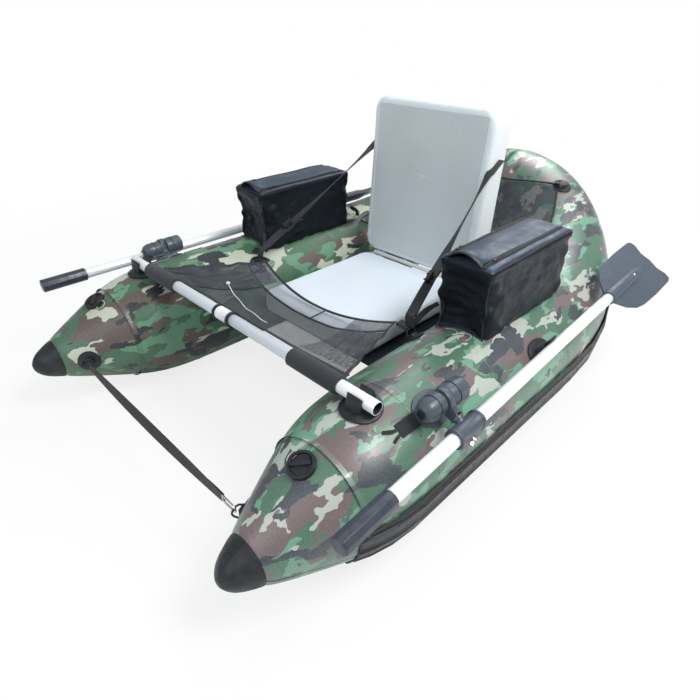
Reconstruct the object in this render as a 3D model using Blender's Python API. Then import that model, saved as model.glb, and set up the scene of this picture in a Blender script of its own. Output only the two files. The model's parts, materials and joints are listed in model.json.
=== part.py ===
"""Inflatable float tube: twin-bow pontoon boat with a folding seat, bags, crossbar, apron and stowed oars.

+Z is up, the bows point along -Y and the port side is +X. The origin is at the centre of the
boat's footprint, on the floor. Every size is in metres.
"""

import math

import bmesh
import bpy
from mathutils import Matrix, Vector
from mathutils.bvhtree import BVHTree

# Fits shared by all pieces
GAP = 0.0003
OVERRUN = 0.04
ROUND_SIDES = 14

# Hull: two air chambers that meet in a seam at the stern
HULL_LENGTH = 1.80
TUBE_RADIUS = 0.165
HALF_SPACING = 0.425
BOW_SPREAD = 0.022
SPREAD_LENGTH = 0.64
NOSE_DROP = 0.015
NOSE_DROP_LENGTH = 0.30
BOW_TAPER_LENGTH = 0.48
BEND_LENGTH = 0.3417 * HULL_LENGTH
STERN_RISE = 0.21
SKIN = 0.0012
TUBE_SIDES = 24
BEND_STEPS = 9
# How far along the bow taper, and how much of the tube's radius it has there
BOW_SHARES = (
    (0.0, 0.05), (0.012, 0.12), (0.035, 0.19), (0.07, 0.25), (0.135, 0.335), (0.21, 0.445),
    (0.33, 0.605), (0.43, 0.735), (0.53, 0.855), (0.63, 0.935), (0.76, 0.985), (1.0, 1.0),
)
CAP_STATION = 4
CAP_WALL = 0.004
CAP_END_ROOM = 0.002
CAP_SOLID_STATIONS = 2

# Rubbing strake: a ribbed rubber band low on the outer side of each tube
STRAKE_START_Y = -0.3778 * HULL_LENGTH
STRAKE_FIRST_FACET = 1
STRAKE_FACETS = 5
STRAKE_THICKNESS = 0.002
STRAKE_RIB = 0.0035
STRAKE_RIB_SHARES = ((0.0, 0.0), (0.30, 0.0), (0.40, 1.0), (0.60, 1.0), (0.70, 0.0))

# Seat board on its sling
SEAT_HALF_WIDTH = 0.205
SEAT_FRONT_Y = -0.175 * HULL_LENGTH
SEAT_REAR_Y = 0.0833 * HULL_LENGTH
SEAT_TOP = 0.262
SEAT_THICKNESS = 0.064
SEAT_CORNER = 0.035
SEAT_EDGE = 0.015
SLING_THICKNESS = 0.004
SLING_MARGIN = 0.015

# Backrest and the rolled hinge that joins it to the seat
BACK_HALF_WIDTH = 0.220
BACK_HEIGHT = 0.490
BACK_THICKNESS = 0.088
BACK_CORNER = 0.045
BACK_EDGE = 0.015
BACK_LEAN = 4.5
HINGE_RADIUS = 0.0065
HINGE_HALF_LENGTH = 0.165
BACK_VALVE_RADIUS = 0.026
BACK_VALVE_HEIGHT = 0.005
BACK_VALVE_UP = 0.120
BACK_VALVE_OUT = 0.130

# Back stay straps
WEBBING = 0.025
WEBBING_THICKNESS = 0.0018
STRAP_ANCHOR_Y = -0.1289 * HULL_LENGTH
STRAP_ANCHOR_ANGLE = 133.0
STRAP_HEIGHT = 0.360
STRAP_SEAT_LENGTH = 0.060
STRAP_RING_LEAN = 28.0
BUCKLE_SHARE = 0.25
BUCKLE_LENGTH = 0.030
BUCKLE_WALL = 0.0045
BUCKLE_THICKNESS = 0.009

# Glued rings
PATCH_RADIUS = 0.030
PATCH_THICKNESS = 0.0022
RING_WIRE = 0.0022
RING_HALF_WIDTH = 0.015
RING_DEPTH = 0.020
LOOP_HEIGHT = 0.0075
LOOP_LENGTH = 0.028
LOOP_WIDTH = 0.018
# The D-ring's outline from one end of its straight bar to the other: shares of half width and depth
RING_SHARES = ((1.0, 0.55), (0.85, 0.85), (0.5, 1.0), (-0.5, 1.0), (-0.85, 0.85), (-1.0, 0.55))

# Side bags
BAG_INNER_X = 0.335
BAG_WIDTH = 0.140
BAG_FRONT_Y = -0.1028 * HULL_LENGTH
BAG_LENGTH = 0.2111 * HULL_LENGTH
BAG_TOP = 0.495
BAG_WALL = 0.004
BAG_CORNER = 0.020
BAG_FLOOR_ROOM = 0.014
LID_THICKNESS = 0.014
LID_EDGE = 0.006

# Crossbar
BAR_Y = -0.3044 * HULL_LENGTH
BAR_RADIUS = 0.0145
BAR_WALL = 0.0015
BAR_LIFT = 0.0045
BAR_HALF_LENGTH = 0.483
BAR_JOINT_X = -0.012
FERRULE_LENGTH = 0.064
FERRULE_WALL = 0.0018
FERRULE_RING = 0.0050
FERRULE_RING_LENGTH = 0.008
FOAM_INNER_X = 0.237
FOAM_LENGTH = 0.148
FOAM_WALL = 0.0065
FOAM_END = 0.003
SADDLE_X = 0.440
SADDLE_DISC = 0.044
SADDLE_DISC_THICKNESS = 0.003
SADDLE_WIDTH = 0.034
SADDLE_JAW = 0.009
SADDLE_JAW_TOP = 0.018
SADDLE_MOUTH_ANGLE = 52.0

# Apron of netting between the crossbar and the seat
APRON_THICKNESS = 0.002
APRON_FRONT_HALF = 0.375
APRON_REAR_HALF = 0.262
APRON_REAR_Y = -0.1311 * HULL_LENGTH
APRON_REAR_BOW = 0.030
APRON_REAR_Z = 0.312
APRON_CLEAR = 0.006
APRON_SAG = 0.020
APRON_ACROSS = 14
APRON_ALONG = 8
APRON_BUCKLE_WIDTH = 0.024
APRON_BUCKLE_THICKNESS = 0.009

# Air valves
VALVE_Y = -0.3889 * HULL_LENGTH
VALVE_ANGLE = 90.0
VALVE_RADIUS = 0.0285
VALVE_HEIGHT = 0.0075
VALVE_RIM = 0.0065
VALVE_RECESS = 0.0055
VALVE_CAP_THICKNESS = 0.003
VALVE_BAR_WIDTH = 0.008
VALVE_BAR_HEIGHT = 0.006
VALVE_BAR_TURN = 40.0

# Oars, stowed along the tubes
OAR_GRIP_END = (0.616, -0.4322 * HULL_LENGTH, 0.2925)
OAR_YAW = 2.17
OAR_RISE = 0.62
OAR_TO_SOCKET = 0.5867 * HULL_LENGTH
SHAFT_RADIUS = 0.0145
SHAFT_WALL = 0.0015
SHAFT_IN_SOCKET = 0.180
GRIP_LENGTH = 0.125
GRIP_WALL = 0.0040
GRIP_FLUTE = 0.0012
GRIP_FLUTES = 10
BLADE_LENGTH = 0.345
BLADE_HALF_WIDTH = 0.084
BLADE_THICKNESS = 0.0045
BLADE_TILT = 30.0
# Half of the blade's outline: shares of its half width and of its length
BLADE_SHARES = (
    (0.24, 0.02), (0.62, 0.11), (0.86, 0.22), (0.95, 0.34), (1.0, 0.60), (1.0, 0.93),
    (0.93, 0.985), (0.74, 1.0), (0.38, 0.965), (0.0, 0.985),
)
SOCKET_WALL = 0.0040
SOCKET_END = 0.275
SOCKET_END_RADIUS = 0.005
SOCKET_ROUND_END = 0.200
BUTTON_PLACE = 0.165
BUTTON_RADIUS = 0.004
BUTTON_WALL = 0.0008
BUTTON_PROUD = 0.0035
BUTTON_FLANGE = 0.0065
BUTTON_FLANGE_THICKNESS = 0.0012

# Rowlock: block on the tube, swivel arm, collar on the shaft and its cross bolt
ROWLOCK_Y = -0.2389 * HULL_LENGTH
ROWLOCK_ANGLE = 56.0
COLLAR_PLACE = 0.1933 * HULL_LENGTH
COLLAR_LENGTH = 0.080
COLLAR_WALL = 0.0065
COLLAR_RIM = 0.0015
COLLAR_RIM_LENGTH = 0.006
COLLAR_LUG_RADIUS = 0.0105
BLOCK_HALF_LENGTH = 0.038
BLOCK_HALF_WIDTH = 0.027
BLOCK_HEIGHT = 0.0095
BLOCK_PAD_MARGIN = 0.012
BLOCK_BOSS_RADIUS = 0.0165
BLOCK_BOSS_HEIGHT = 0.0125
SWIVEL_PIN_RADIUS = 0.006
SWIVEL_PIN_DEPTH = 0.0095
RUNNING_GAP = 0.00003
RUNNING_SIDES = 24
HEAD_AXIS_HEIGHT = 0.0385
HEAD_KEEL_HALF_WIDTH = 0.012
HEAD_CORE_RADIUS = 0.015
# Barrels: radius, near end, far end and how much the far end rounds off
FRONT_BARREL = (0.0235, 0.0085, 0.062, 0.016)
REAR_BARREL = (0.0255, 0.0085, 0.060, 0.005)
ARM_RADIUS = 0.0275
ARM_HALF_WIDTH = 0.007
EYE_RADIUS = 0.013
EYE_THICKNESS = 0.006
BOLT_ROOM = 0.001
BOLT_RADIUS = 0.003
BOLT_HEAD_RADIUS = 0.0055
BOLT_HEAD_THICKNESS = 0.0035
WING_HUB_RADIUS = 0.006
WING_HUB_LENGTH = 0.008
WING_REACH = 0.014
WING_HEIGHT = 0.009
WING_THICKNESS = 0.0028

# Oar clip
CLIP_Y = -0.0256 * HULL_LENGTH
CLIP_WALL = 0.006
CLIP_LIP = 0.010
CLIP_LENGTH = 0.028
CLIP_STEM = 0.020
CLIP_PAD_HALF_LENGTH = 0.045
CLIP_PAD_HALF_WIDTH = 0.032

# Bow strap
BOW_RING_Y = -0.4339 * HULL_LENGTH
BOW_STRAP_SAG = 0.006
HOOK_LENGTH = 0.046
HOOK_WIRE = 0.0022
HOOK_HALF_WIDTH = 0.008

# Cargo net behind the backrest
NET_THICKNESS = 0.002
NET_ACROSS = 12
NET_ALONG = 7
NET_FRONT_TURN = 12.0
NET_FRONT_ANGLE = 122.0
NET_FRONT_BOW = 0.100
NET_REAR_BOW = 0.030
NET_LIFT = 0.007
NET_SAG = 0.022
NET_REAR_SAG = 0.010
NET_RING_TURN = 65.0
NET_RING_ANGLE = 92.0
NET_RING_LEAN = -80.0

COLOURS = {
    "camo_fabric": ((0.16, 0.26, 0.16), 0.55, 0.0),
    "black_rubber": ((0.022, 0.024, 0.028), 0.55, 0.0),
    "pale_board": ((0.78, 0.82, 0.86), 0.45, 0.0),
    "grey_board": ((0.52, 0.56, 0.58), 0.50, 0.0),
    "black_nylon": ((0.018, 0.020, 0.028), 0.65, 0.0),
    "black_webbing": ((0.020, 0.021, 0.024), 0.80, 0.0),
    "black_net": ((0.030, 0.032, 0.036), 0.85, 0.0),
    "black_plastic": ((0.020, 0.021, 0.024), 0.40, 0.0),
    "satin_aluminium": ((0.55, 0.57, 0.60), 0.35, 1.0),
    "white_aluminium": ((0.86, 0.88, 0.90), 0.30, 0.4),
    "black_foam": ((0.030, 0.032, 0.036), 0.90, 0.0),
    "slate_plastic": ((0.095, 0.110, 0.130), 0.45, 0.0),
    "steel": ((0.62, 0.62, 0.60), 0.25, 1.0),
}

NOSE_Y = -HULL_LENGTH / 2
STERN_Y = HULL_LENGTH / 2 - TUBE_RADIUS - GAP - STRAKE_THICKNESS - STRAKE_RIB
BEND_START_Y = STERN_Y - BEND_LENGTH
FACET_STEP = 2 * math.pi / TUBE_SIDES
CAP_EDGE_Y = NOSE_Y + BOW_SHARES[CAP_STATION][0] * BOW_TAPER_LENGTH
UP = Vector((0, 0, 1))
AFT = Vector((0, 1, 0))
OUT = Vector((1, 0, 0))


# Small helpers


def clear_scene():
    for obj in list(bpy.data.objects):
        bpy.data.objects.remove(obj, do_unlink=True)


def finish_of(name):
    found = bpy.data.materials.get(name)
    if found:
        return found
    colour, roughness, metallic = COLOURS[name]
    made = bpy.data.materials.new(name)
    made.use_nodes = True
    shader = made.node_tree.nodes["Principled BSDF"]
    shader.inputs["Base Color"].default_value = (*colour, 1)
    shader.inputs["Roughness"].default_value = roughness
    shader.inputs["Metallic"].default_value = metallic
    made.diffuse_color = (*colour, 1)
    return made


def ease(share):
    share = min(max(share, 0), 1)
    return share * share * (3 - 2 * share)


def frame(origin, x_axis, z_axis):
    """A matrix whose X and Z run along the given directions, with its origin at the given point."""
    z_axis = z_axis.normalized()
    y_axis = z_axis.cross(x_axis).normalized()
    x_axis = y_axis.cross(z_axis)
    turned = Matrix((x_axis, y_axis, z_axis)).transposed().to_4x4()
    return Matrix.Translation(origin) @ turned


def loft(rings, looped=False):
    """A closed skin through rings of equal point counts, capped at both ends unless it is looped."""
    mesh = bmesh.new()
    rows = [[mesh.verts.new(point) for point in ring] for ring in rings]
    count = len(rows[0])
    for near, far in zip(rows, rows[1:] + rows[:1] if looped else rows[1:]):
        for i in range(count):
            j = (i + 1) % count
            mesh.faces.new((near[i], near[j], far[j]))
            mesh.faces.new((near[i], far[j], far[i]))
    if not looped:
        mesh.faces.new(rows[0])
        mesh.faces.new(rows[-1])
    bmesh.ops.recalc_face_normals(mesh, faces=mesh.faces)
    return mesh


def circle(radius, height, sides=ROUND_SIDES, turn=0.0):
    step = 2 * math.pi / sides
    return [
        Vector((radius * math.cos(step * i + turn), radius * math.sin(step * i + turn), height))
        for i in range(sides)
    ]


def turned(profile, sides=ROUND_SIDES, looped=False):
    """A lathe-turned shape about Z from (radius, height) pairs, a ring-shaped one when it is looped."""
    return loft([circle(radius, height, sides) for radius, height in profile], looped)


def rod(radius, start, end, sides=ROUND_SIDES):
    return turned([(radius, start), (radius, end)], sides)


def pipe(outer, inner, start, end, sides=ROUND_SIDES):
    return turned([(outer, start), (outer, end), (inner, end), (inner, start)], sides, True)


def prism(outline, start, end):
    """A 2-D outline carried along Z."""
    return loft([[Vector((x, y, height)) for x, y in outline] for height in (start, end)])


def box(low, high):
    outline = [(low[0], low[1]), (high[0], low[1]), (high[0], high[1]), (low[0], high[1])]
    return prism(outline, low[2], high[2])


def rounded(low, high, corner, steps=3):
    """The outline of a rectangle with round corners."""
    points = []
    centres = (
        (high[0] - corner, high[1] - corner), (low[0] + corner, high[1] - corner),
        (low[0] + corner, low[1] + corner), (high[0] - corner, low[1] + corner),
    )
    for quarter, (x, y) in enumerate(centres):
        for i in range(steps + 1):
            angle = math.radians(90) * (quarter + i / steps)
            points.append((x + corner * math.cos(angle), y + corner * math.sin(angle)))
    return points


def board(half_width, length, thickness, corner, edge, steps=3):
    """A flat inflated board with round edges, lying on z = 0 with one end at y = 0."""
    rings = []
    quarter = [math.radians(90) * i / steps for i in range(steps + 1)]
    levels = [(edge * (1 - math.cos(a)), edge * (1 - math.sin(a))) for a in quarter]
    levels += [(thickness - height, inset) for height, inset in reversed(levels)]
    for height, inset in levels:
        outline = rounded(
            (-half_width + inset, inset), (half_width - inset, length - inset), corner - inset, 4
        )
        rings.append([Vector((x, y, height)) for x, y in outline])
    return loft(rings)


def wire(path, normal, radius, sides=6):
    """A ring of round wire through points of one plane, whose normal is given."""
    rings = []
    for i, point in enumerate(path):
        before = (point - path[i - 1]).normalized()
        along = before + (path[(i + 1) % len(path)] - point).normalized()
        mitre = Matrix.Diagonal((1, 2 / along.length, 1, 1))
        placed = frame(point, normal, along) @ mitre
        rings.append([placed @ p for p in circle(radius, 0, sides)])
    return loft(rings, True)


def strap_mesh(path, flat_normals, width, thickness):
    """Flat webbing along a path, whose broad faces look along the given normals."""
    rings = []
    for i, (point, normal) in enumerate(zip(path, flat_normals)):
        before, after = path[max(i - 1, 0)], path[min(i + 1, len(path) - 1)]
        along = (after - before).normalized()
        across = along.cross(normal).normalized() * width / 2
        through = across.cross(along).normalized() * thickness / 2
        rings.append([
            point + across + through, point - across + through,
            point - across - through, point + across - through,
        ])
    return loft(rings)


def sheet(surface, across, along, thickness):
    """A thin sheet over a surface(u, v), with u from -1 to 1 and v from 0 to 1."""
    mesh = bmesh.new()
    down = Vector((0, 0, -thickness))
    layers = []
    for drop in (Vector(), down):
        layers.append([
            [mesh.verts.new(surface(2 * i / across - 1, j / along) + drop) for i in range(across + 1)]
            for j in range(along + 1)
        ])
    top, under = layers
    for j in range(along):
        for i in range(across):
            mesh.faces.new((top[j][i], top[j][i + 1], top[j + 1][i + 1], top[j + 1][i]))
            mesh.faces.new((under[j][i], under[j + 1][i], under[j + 1][i + 1], under[j][i + 1]))
    for j in range(along):
        for i in (0, across):
            mesh.faces.new((top[j][i], top[j + 1][i], under[j + 1][i], under[j][i]))
    for i in range(across):
        for j in (0, along):
            mesh.faces.new((top[j][i], top[j][i + 1], under[j][i + 1], under[j][i]))
    bmesh.ops.recalc_face_normals(mesh, faces=mesh.faces)
    return mesh


def moved(mesh, matrix):
    mesh.transform(matrix)
    return mesh


def carved(base, add=(), keep=(), cut=()):
    """Boolean work on closed shapes: unions first, then what is kept inside, then cuts."""
    def as_object(mesh):
        data = bpy.data.meshes.new("work")
        mesh.to_mesh(data)
        made = bpy.data.objects.new("work", data)
        bpy.context.scene.collection.objects.link(made)
        return made

    target = as_object(base)
    tools = []
    for operation, shapes in (("UNION", add), ("INTERSECT", keep), ("DIFFERENCE", cut)):
        for shape in shapes:
            tool = as_object(shape)
            tools.append(tool)
            step = target.modifiers.new("step", "BOOLEAN")
            step.operation = operation
            step.object = tool
    graph = bpy.context.evaluated_depsgraph_get()
    result = bmesh.new()
    result.from_mesh(target.evaluated_get(graph).to_mesh())
    for made in [target, *tools]:
        data = made.data
        bpy.data.objects.remove(made, do_unlink=True)
        bpy.data.meshes.remove(data)
    return result


def mirrored(mesh):
    other = mesh.copy()
    bmesh.ops.scale(other, vec=(-1, 1, 1), verts=other.verts)
    bmesh.ops.reverse_faces(other, faces=other.faces)
    return other


def solid(name, mesh, finish, pivot=(0, 0, 0), parent=None):
    """A named object with its origin at its pivot."""
    pivot = Vector(pivot)
    mesh = mesh.copy()
    mesh.transform(Matrix.Translation(-pivot))
    data = bpy.data.meshes.new(name)
    mesh.to_mesh(data)
    data.materials.append(finish_of(finish))
    data.shade_smooth()
    data.set_sharp_from_angle(angle=math.radians(35))
    made = bpy.data.objects.new(name, data)
    bpy.context.scene.collection.objects.link(made)
    made.location = pivot
    if parent:
        made.parent = parent
        made.matrix_parent_inverse = Matrix.Translation(-parent.location)
    return made


def pivot_empty(name, point):
    made = bpy.data.objects.new(name, None)
    bpy.context.scene.collection.objects.link(made)
    made.location = point
    return made


def pair(name, mesh, finish, pivot=(0, 0, 0), parents=(None, None)):
    """The port piece and its mirror image to starboard."""
    other = Vector((-pivot[0], pivot[1], pivot[2]))
    solid("port_" + name, mesh, finish, pivot, parents[0])
    solid("starboard_" + name, mirrored(mesh), finish, other, parents[1])


# Hull geometry that every fitting is seated on


def bow_radius(y):
    share = (y - NOSE_Y) / BOW_TAPER_LENGTH
    for (near, thin), (far, thick) in zip(BOW_SHARES, BOW_SHARES[1:]):
        if share <= far:
            return TUBE_RADIUS * (thin + (thick - thin) * (share - near) / (far - near))
    return TUBE_RADIUS


def spine(y):
    """The centre of the port tube at a place ahead of the bend."""
    spread = BOW_SPREAD * (1 - ease((y - NOSE_Y) / SPREAD_LENGTH))
    drop = NOSE_DROP * (1 - ease((y - NOSE_Y) / NOSE_DROP_LENGTH))
    return Vector((HALF_SPACING + spread, y, TUBE_RADIUS - drop))


def bend(turn):
    """Centre and direction of the port tube, turn radians round the stern bend."""
    swing, rise = math.sin(turn), math.cos(turn)
    centre = Vector((HALF_SPACING * rise, BEND_START_Y + BEND_LENGTH * swing, TUBE_RADIUS))
    centre.z += STERN_RISE * swing ** 3
    along = Vector((-HALF_SPACING * swing, BEND_LENGTH * rise, 3 * STERN_RISE * swing ** 2 * rise))
    return centre, along.normalized()


def section(centre, along):
    """Outward and upward directions across the tube."""
    outward = along.cross(UP).normalized()
    return outward, outward.cross(along)


def tube_ring(centre, along, radius):
    """A polygon whose sides touch the true circle, with a flat side underneath."""
    outward, upward = section(centre, along)
    reach = radius / math.cos(FACET_STEP / 2)
    points = []
    for i in range(TUBE_SIDES):
        angle = -math.pi / 2 + FACET_STEP * (i + 0.5)
        points.append(centre + (outward * math.cos(angle) + upward * math.sin(angle)) * reach)
    return points


def bow_stations():
    return [NOSE_Y + share * BOW_TAPER_LENGTH for share, _ in BOW_SHARES] + [BEND_START_Y]


def bend_rings(offset):
    rings = []
    for step in range(1, BEND_STEPS + 1):
        centre, along = bend(math.pi / 2 * step / BEND_STEPS)
        if step == BEND_STEPS:
            centre.x += GAP / 2
            along = -OUT
        rings.append(tube_ring(centre, along, TUBE_RADIUS + offset))
    return rings


def hull_rings(stations, offset):
    return [tube_ring(spine(y), AFT, bow_radius(y) + offset) for y in stations] + bend_rings(offset)


def grown_hull(offset):
    """The port tube's outside, grown by an offset, for seating what lies on it."""
    return loft(hull_rings(bow_stations()[1:], offset))


def on_tube(y, angle):
    """A frame on the port tube: Z out of the surface, Y aft along it, X towards the outside."""
    centre = spine(y)
    angle = math.radians(angle)
    slope = (bow_radius(y + OVERRUN / 2) - bow_radius(y - OVERRUN / 2)) / OVERRUN
    radial = OUT * math.cos(angle) + UP * math.sin(angle)
    normal = (radial - AFT * slope).normalized()
    return frame(centre + radial * bow_radius(y), AFT.cross(normal), normal)


def on_bend(turn, angle):
    centre, along = bend(math.radians(turn))
    outward, upward = section(centre, along)
    angle = math.radians(angle)
    normal = outward * math.cos(angle) + upward * math.sin(angle)
    return frame(centre + normal * TUBE_RADIUS, along.cross(normal), normal)


def oval(half_width, half_length, sides=20):
    step = 2 * math.pi / sides
    return [(half_width * math.cos(step * i), half_length * math.sin(step * i)) for i in range(sides)]


def patch(place, outline, thickness, add=()):
    """A glued patch that follows the tube, with what stands on it."""
    core = moved(prism(outline, -OVERRUN, OVERRUN), place)
    core = carved(core, keep=[grown_hull(GAP + thickness)])
    return carved(core, add=add, cut=[grown_hull(GAP)])


def ring_frame(place, lean):
    """Where a D-ring stands in its loop: X along its bars, Z towards its far bar."""
    lifted = place @ Matrix.Translation((0, 0, PATCH_THICKNESS + LOOP_HEIGHT / 2))
    return lifted @ Matrix.Rotation(math.radians(90), 4, "Z") @ Matrix.Rotation(lean, 4, "X")


def ring_bar(place, lean):
    return ring_frame(place, lean) @ Vector((0, 0, RING_DEPTH))


def ring_patch(place, lean):
    """A glued patch with the loop that holds a D-ring, and the ring in it."""
    points = [Vector((-RING_HALF_WIDTH, 0, 0)), Vector((RING_HALF_WIDTH, 0, 0))]
    for along, high in RING_SHARES:
        points.append(Vector((RING_HALF_WIDTH * along, 0, RING_DEPTH * high)))
    stand = ring_frame(place, lean)
    ring = wire([stand @ point for point in points], stand.to_3x3() @ AFT, RING_WIRE)
    high = PATCH_THICKNESS + LOOP_HEIGHT
    loop = moved(box((-LOOP_LENGTH / 2, -LOOP_WIDTH / 2, 0), (LOOP_LENGTH / 2, LOOP_WIDTH / 2, high)), place)
    return patch(place, oval(PATCH_RADIUS, PATCH_RADIUS, 16), PATCH_THICKNESS, [loop, ring])


# Hull


def make_hull():
    edge_radius = bow_radius(CAP_EDGE_Y)
    stations = bow_stations()
    first = stations[CAP_SOLID_STATIONS] + CAP_END_ROOM
    under_cap = [first, *stations[CAP_SOLID_STATIONS + 1:CAP_STATION], CAP_EDGE_Y + GAP]
    rings = [tube_ring(spine(y), AFT, bow_radius(y) - CAP_WALL - GAP) for y in under_cap]
    rings.append(tube_ring(spine(CAP_EDGE_Y + GAP), AFT, edge_radius))
    rings += hull_rings(stations[CAP_STATION + 1:], 0)
    inside = [tube_ring(spine(y), AFT, bow_radius(y) - CAP_WALL - GAP - SKIN) for y in under_cap]
    inside += [
        tube_ring(spine(y), AFT, bow_radius(y) - SKIN) for y in stations[CAP_STATION + 1:]
    ]
    last, along = bend(math.pi / 2)
    inner_bend = bend_rings(-SKIN)
    inner_bend[-1] = tube_ring(last + OUT * (GAP / 2 + SKIN), -OUT, TUBE_RADIUS - SKIN)
    inside += inner_bend
    pair("air_chamber", loft(list(reversed(inside)) + rings), "camo_fabric")

    cap_stations = stations[:CAP_STATION + 1]
    outer = [tube_ring(spine(y), AFT, bow_radius(y)) for y in cap_stations]
    inner = [
        tube_ring(spine(y), AFT, bow_radius(y) - CAP_WALL) for y in cap_stations[CAP_SOLID_STATIONS:]
    ]
    pair("nose_cone", loft(outer + list(reversed(inner))), "black_rubber")


def strake_ring(ring, centre):
    """One section of the strake over a ring of the tube."""
    first = STRAKE_FIRST_FACET
    inner = [ring[first + i] for i in range(STRAKE_FACETS + 1)]

    def lifted(point, height):
        return point + (point - centre).normalized() * height

    outer = []
    for near, far in zip(inner, inner[1:]):
        for share, rib in STRAKE_RIB_SHARES:
            outer.append(lifted(near.lerp(far, share), STRAKE_THICKNESS + rib * STRAKE_RIB))
    outer.append(lifted(inner[-1], STRAKE_THICKNESS))
    return inner + list(reversed(outer))


def make_strakes():
    stations = [STRAKE_START_Y] + [y for y in bow_stations() if y > STRAKE_START_Y]
    rings = []
    for y in stations:
        rings.append(strake_ring(tube_ring(spine(y), AFT, bow_radius(y) + GAP), spine(y)))
    for step, ring in enumerate(bend_rings(GAP), 1):
        centre, _ = bend(math.pi / 2 * step / BEND_STEPS)
        if step == BEND_STEPS:
            centre.x += GAP / 2
        rings.append(strake_ring(ring, centre))
    pair("rub_strake", loft(rings), "black_rubber")


# Seat


def hinge_point():
    """The rolled hinge nests between the seat's rear edge and the backrest's lower edge."""
    reach = (SEAT_EDGE + GAP + HINGE_RADIUS) / math.sqrt(2)
    return Vector((0, SEAT_REAR_Y - SEAT_EDGE + reach, SEAT_TOP - SEAT_EDGE + reach))


def back_frame():
    """The backrest's own frame: Y rearwards through its thickness, Z up along its height."""
    return Matrix.Translation(hinge_point()) @ Matrix.Rotation(math.radians(-BACK_LEAN), 4, "X")


def back_corner():
    """The lower front corner of the backrest's side view, in its own frame."""
    reach = (BACK_EDGE + GAP + HINGE_RADIUS) / math.sqrt(2)
    return reach - BACK_EDGE


def make_seat():
    sling_top = SEAT_TOP - SEAT_THICKNESS - GAP
    sling = box(
        (-HALF_SPACING, SEAT_FRONT_Y + SLING_MARGIN, sling_top - SLING_THICKNESS),
        (HALF_SPACING, SEAT_REAR_Y - SLING_MARGIN, sling_top),
    )
    hull = grown_hull(GAP)
    solid("seat_sling", carved(sling, cut=[hull, mirrored(hull)]), "black_nylon")
    seat = board(
        SEAT_HALF_WIDTH, SEAT_REAR_Y - SEAT_FRONT_Y, SEAT_THICKNESS, SEAT_CORNER, SEAT_EDGE
    )
    place = Matrix.Translation((0, SEAT_FRONT_Y, SEAT_TOP - SEAT_THICKNESS))
    solid("seat_cushion", moved(seat, place), "pale_board")
    hinge = moved(
        rod(HINGE_RADIUS, -HINGE_HALF_LENGTH, HINGE_HALF_LENGTH, 10),
        frame(hinge_point(), AFT, OUT),
    )
    solid("backrest_hinge", hinge, "black_webbing", hinge_point())

    placed = back_frame()
    pivot = pivot_empty("backrest_pivot", hinge_point())
    back = board(BACK_HALF_WIDTH, BACK_HEIGHT, BACK_THICKNESS, BACK_CORNER, BACK_EDGE)
    stand = Matrix.Translation((0, back_corner() + BACK_THICKNESS, back_corner()))
    back.transform(placed @ stand @ Matrix.Rotation(math.radians(90), 4, "X"))
    solid("backrest", back, "grey_board", hinge_point(), pivot)
    rear = back_corner() + BACK_THICKNESS + GAP
    valve = turned([
        (BACK_VALVE_RADIUS, 0), (BACK_VALVE_RADIUS, BACK_VALVE_HEIGHT / 2),
        (BACK_VALVE_RADIUS * 0.8, BACK_VALVE_HEIGHT), (BACK_VALVE_RADIUS * 0.6, BACK_VALVE_HEIGHT),
    ], 18)
    spot = Vector((BACK_VALVE_OUT, rear, BACK_VALVE_UP))
    valve = moved(valve, placed @ frame(spot, OUT, AFT))
    solid("backrest_valve", valve, "black_plastic", hinge_point(), pivot)


# Back stay straps


def strap_ring():
    place = on_tube(STRAP_ANCHOR_Y, STRAP_ANCHOR_ANGLE)
    return place, math.radians(STRAP_RING_LEAN)


def strap_points():
    """The port strap's line: up from its ring, over to the backrest's side and on along it."""
    place, lean = strap_ring()
    bar = ring_bar(place, lean)
    up = (ring_frame(place, lean).to_3x3() @ UP).normalized()
    low = bar + up * (RING_WIRE + GAP)
    turn = low + up * WEBBING
    side = BACK_HALF_WIDTH + GAP + WEBBING_THICKNESS / 2
    top = back_frame() @ Vector((side, back_corner() + BACK_THICKNESS / 2, STRAP_HEIGHT))
    run = (turn - top).normalized()
    meets = top + Vector((0, run.y, run.z)) * STRAP_SEAT_LENGTH
    return low, turn, meets, top


def make_straps():
    low, turn, meets, top = strap_points()
    held = turn.lerp(meets, BUCKLE_SHARE)
    path = [low, turn, held, meets, top]
    strap = strap_mesh(path, [OUT] * len(path), WEBBING, WEBBING_THICKNESS)
    pair("seat_strap", strap, "black_webbing")

    along = (meets - turn).normalized()
    across = along.cross(OUT).normalized()
    placed = frame(held, along, across.cross(along))
    half_slot = WEBBING / 2 + GAP
    half_thick = WEBBING_THICKNESS / 2 + GAP
    body = box(
        (-BUCKLE_LENGTH / 2, -half_slot - BUCKLE_WALL, -BUCKLE_THICKNESS / 2),
        (BUCKLE_LENGTH / 2, half_slot + BUCKLE_WALL, BUCKLE_THICKNESS / 2),
    )
    slot = box((-OVERRUN, -half_slot, -half_thick), (OVERRUN, half_slot, half_thick))
    buckle = moved(carved(body, cut=[slot]), placed)
    pair("strap_buckle", buckle, "black_plastic")
    pair("strap_anchor", ring_patch(*strap_ring()), "black_rubber")


# Side bags


def bag_outline(inset):
    low = (BAG_INNER_X + inset, BAG_FRONT_Y + inset)
    high = (BAG_INNER_X + BAG_WIDTH - inset, BAG_FRONT_Y + BAG_LENGTH - inset)
    return rounded(low, high, BAG_CORNER - inset, 3)


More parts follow.
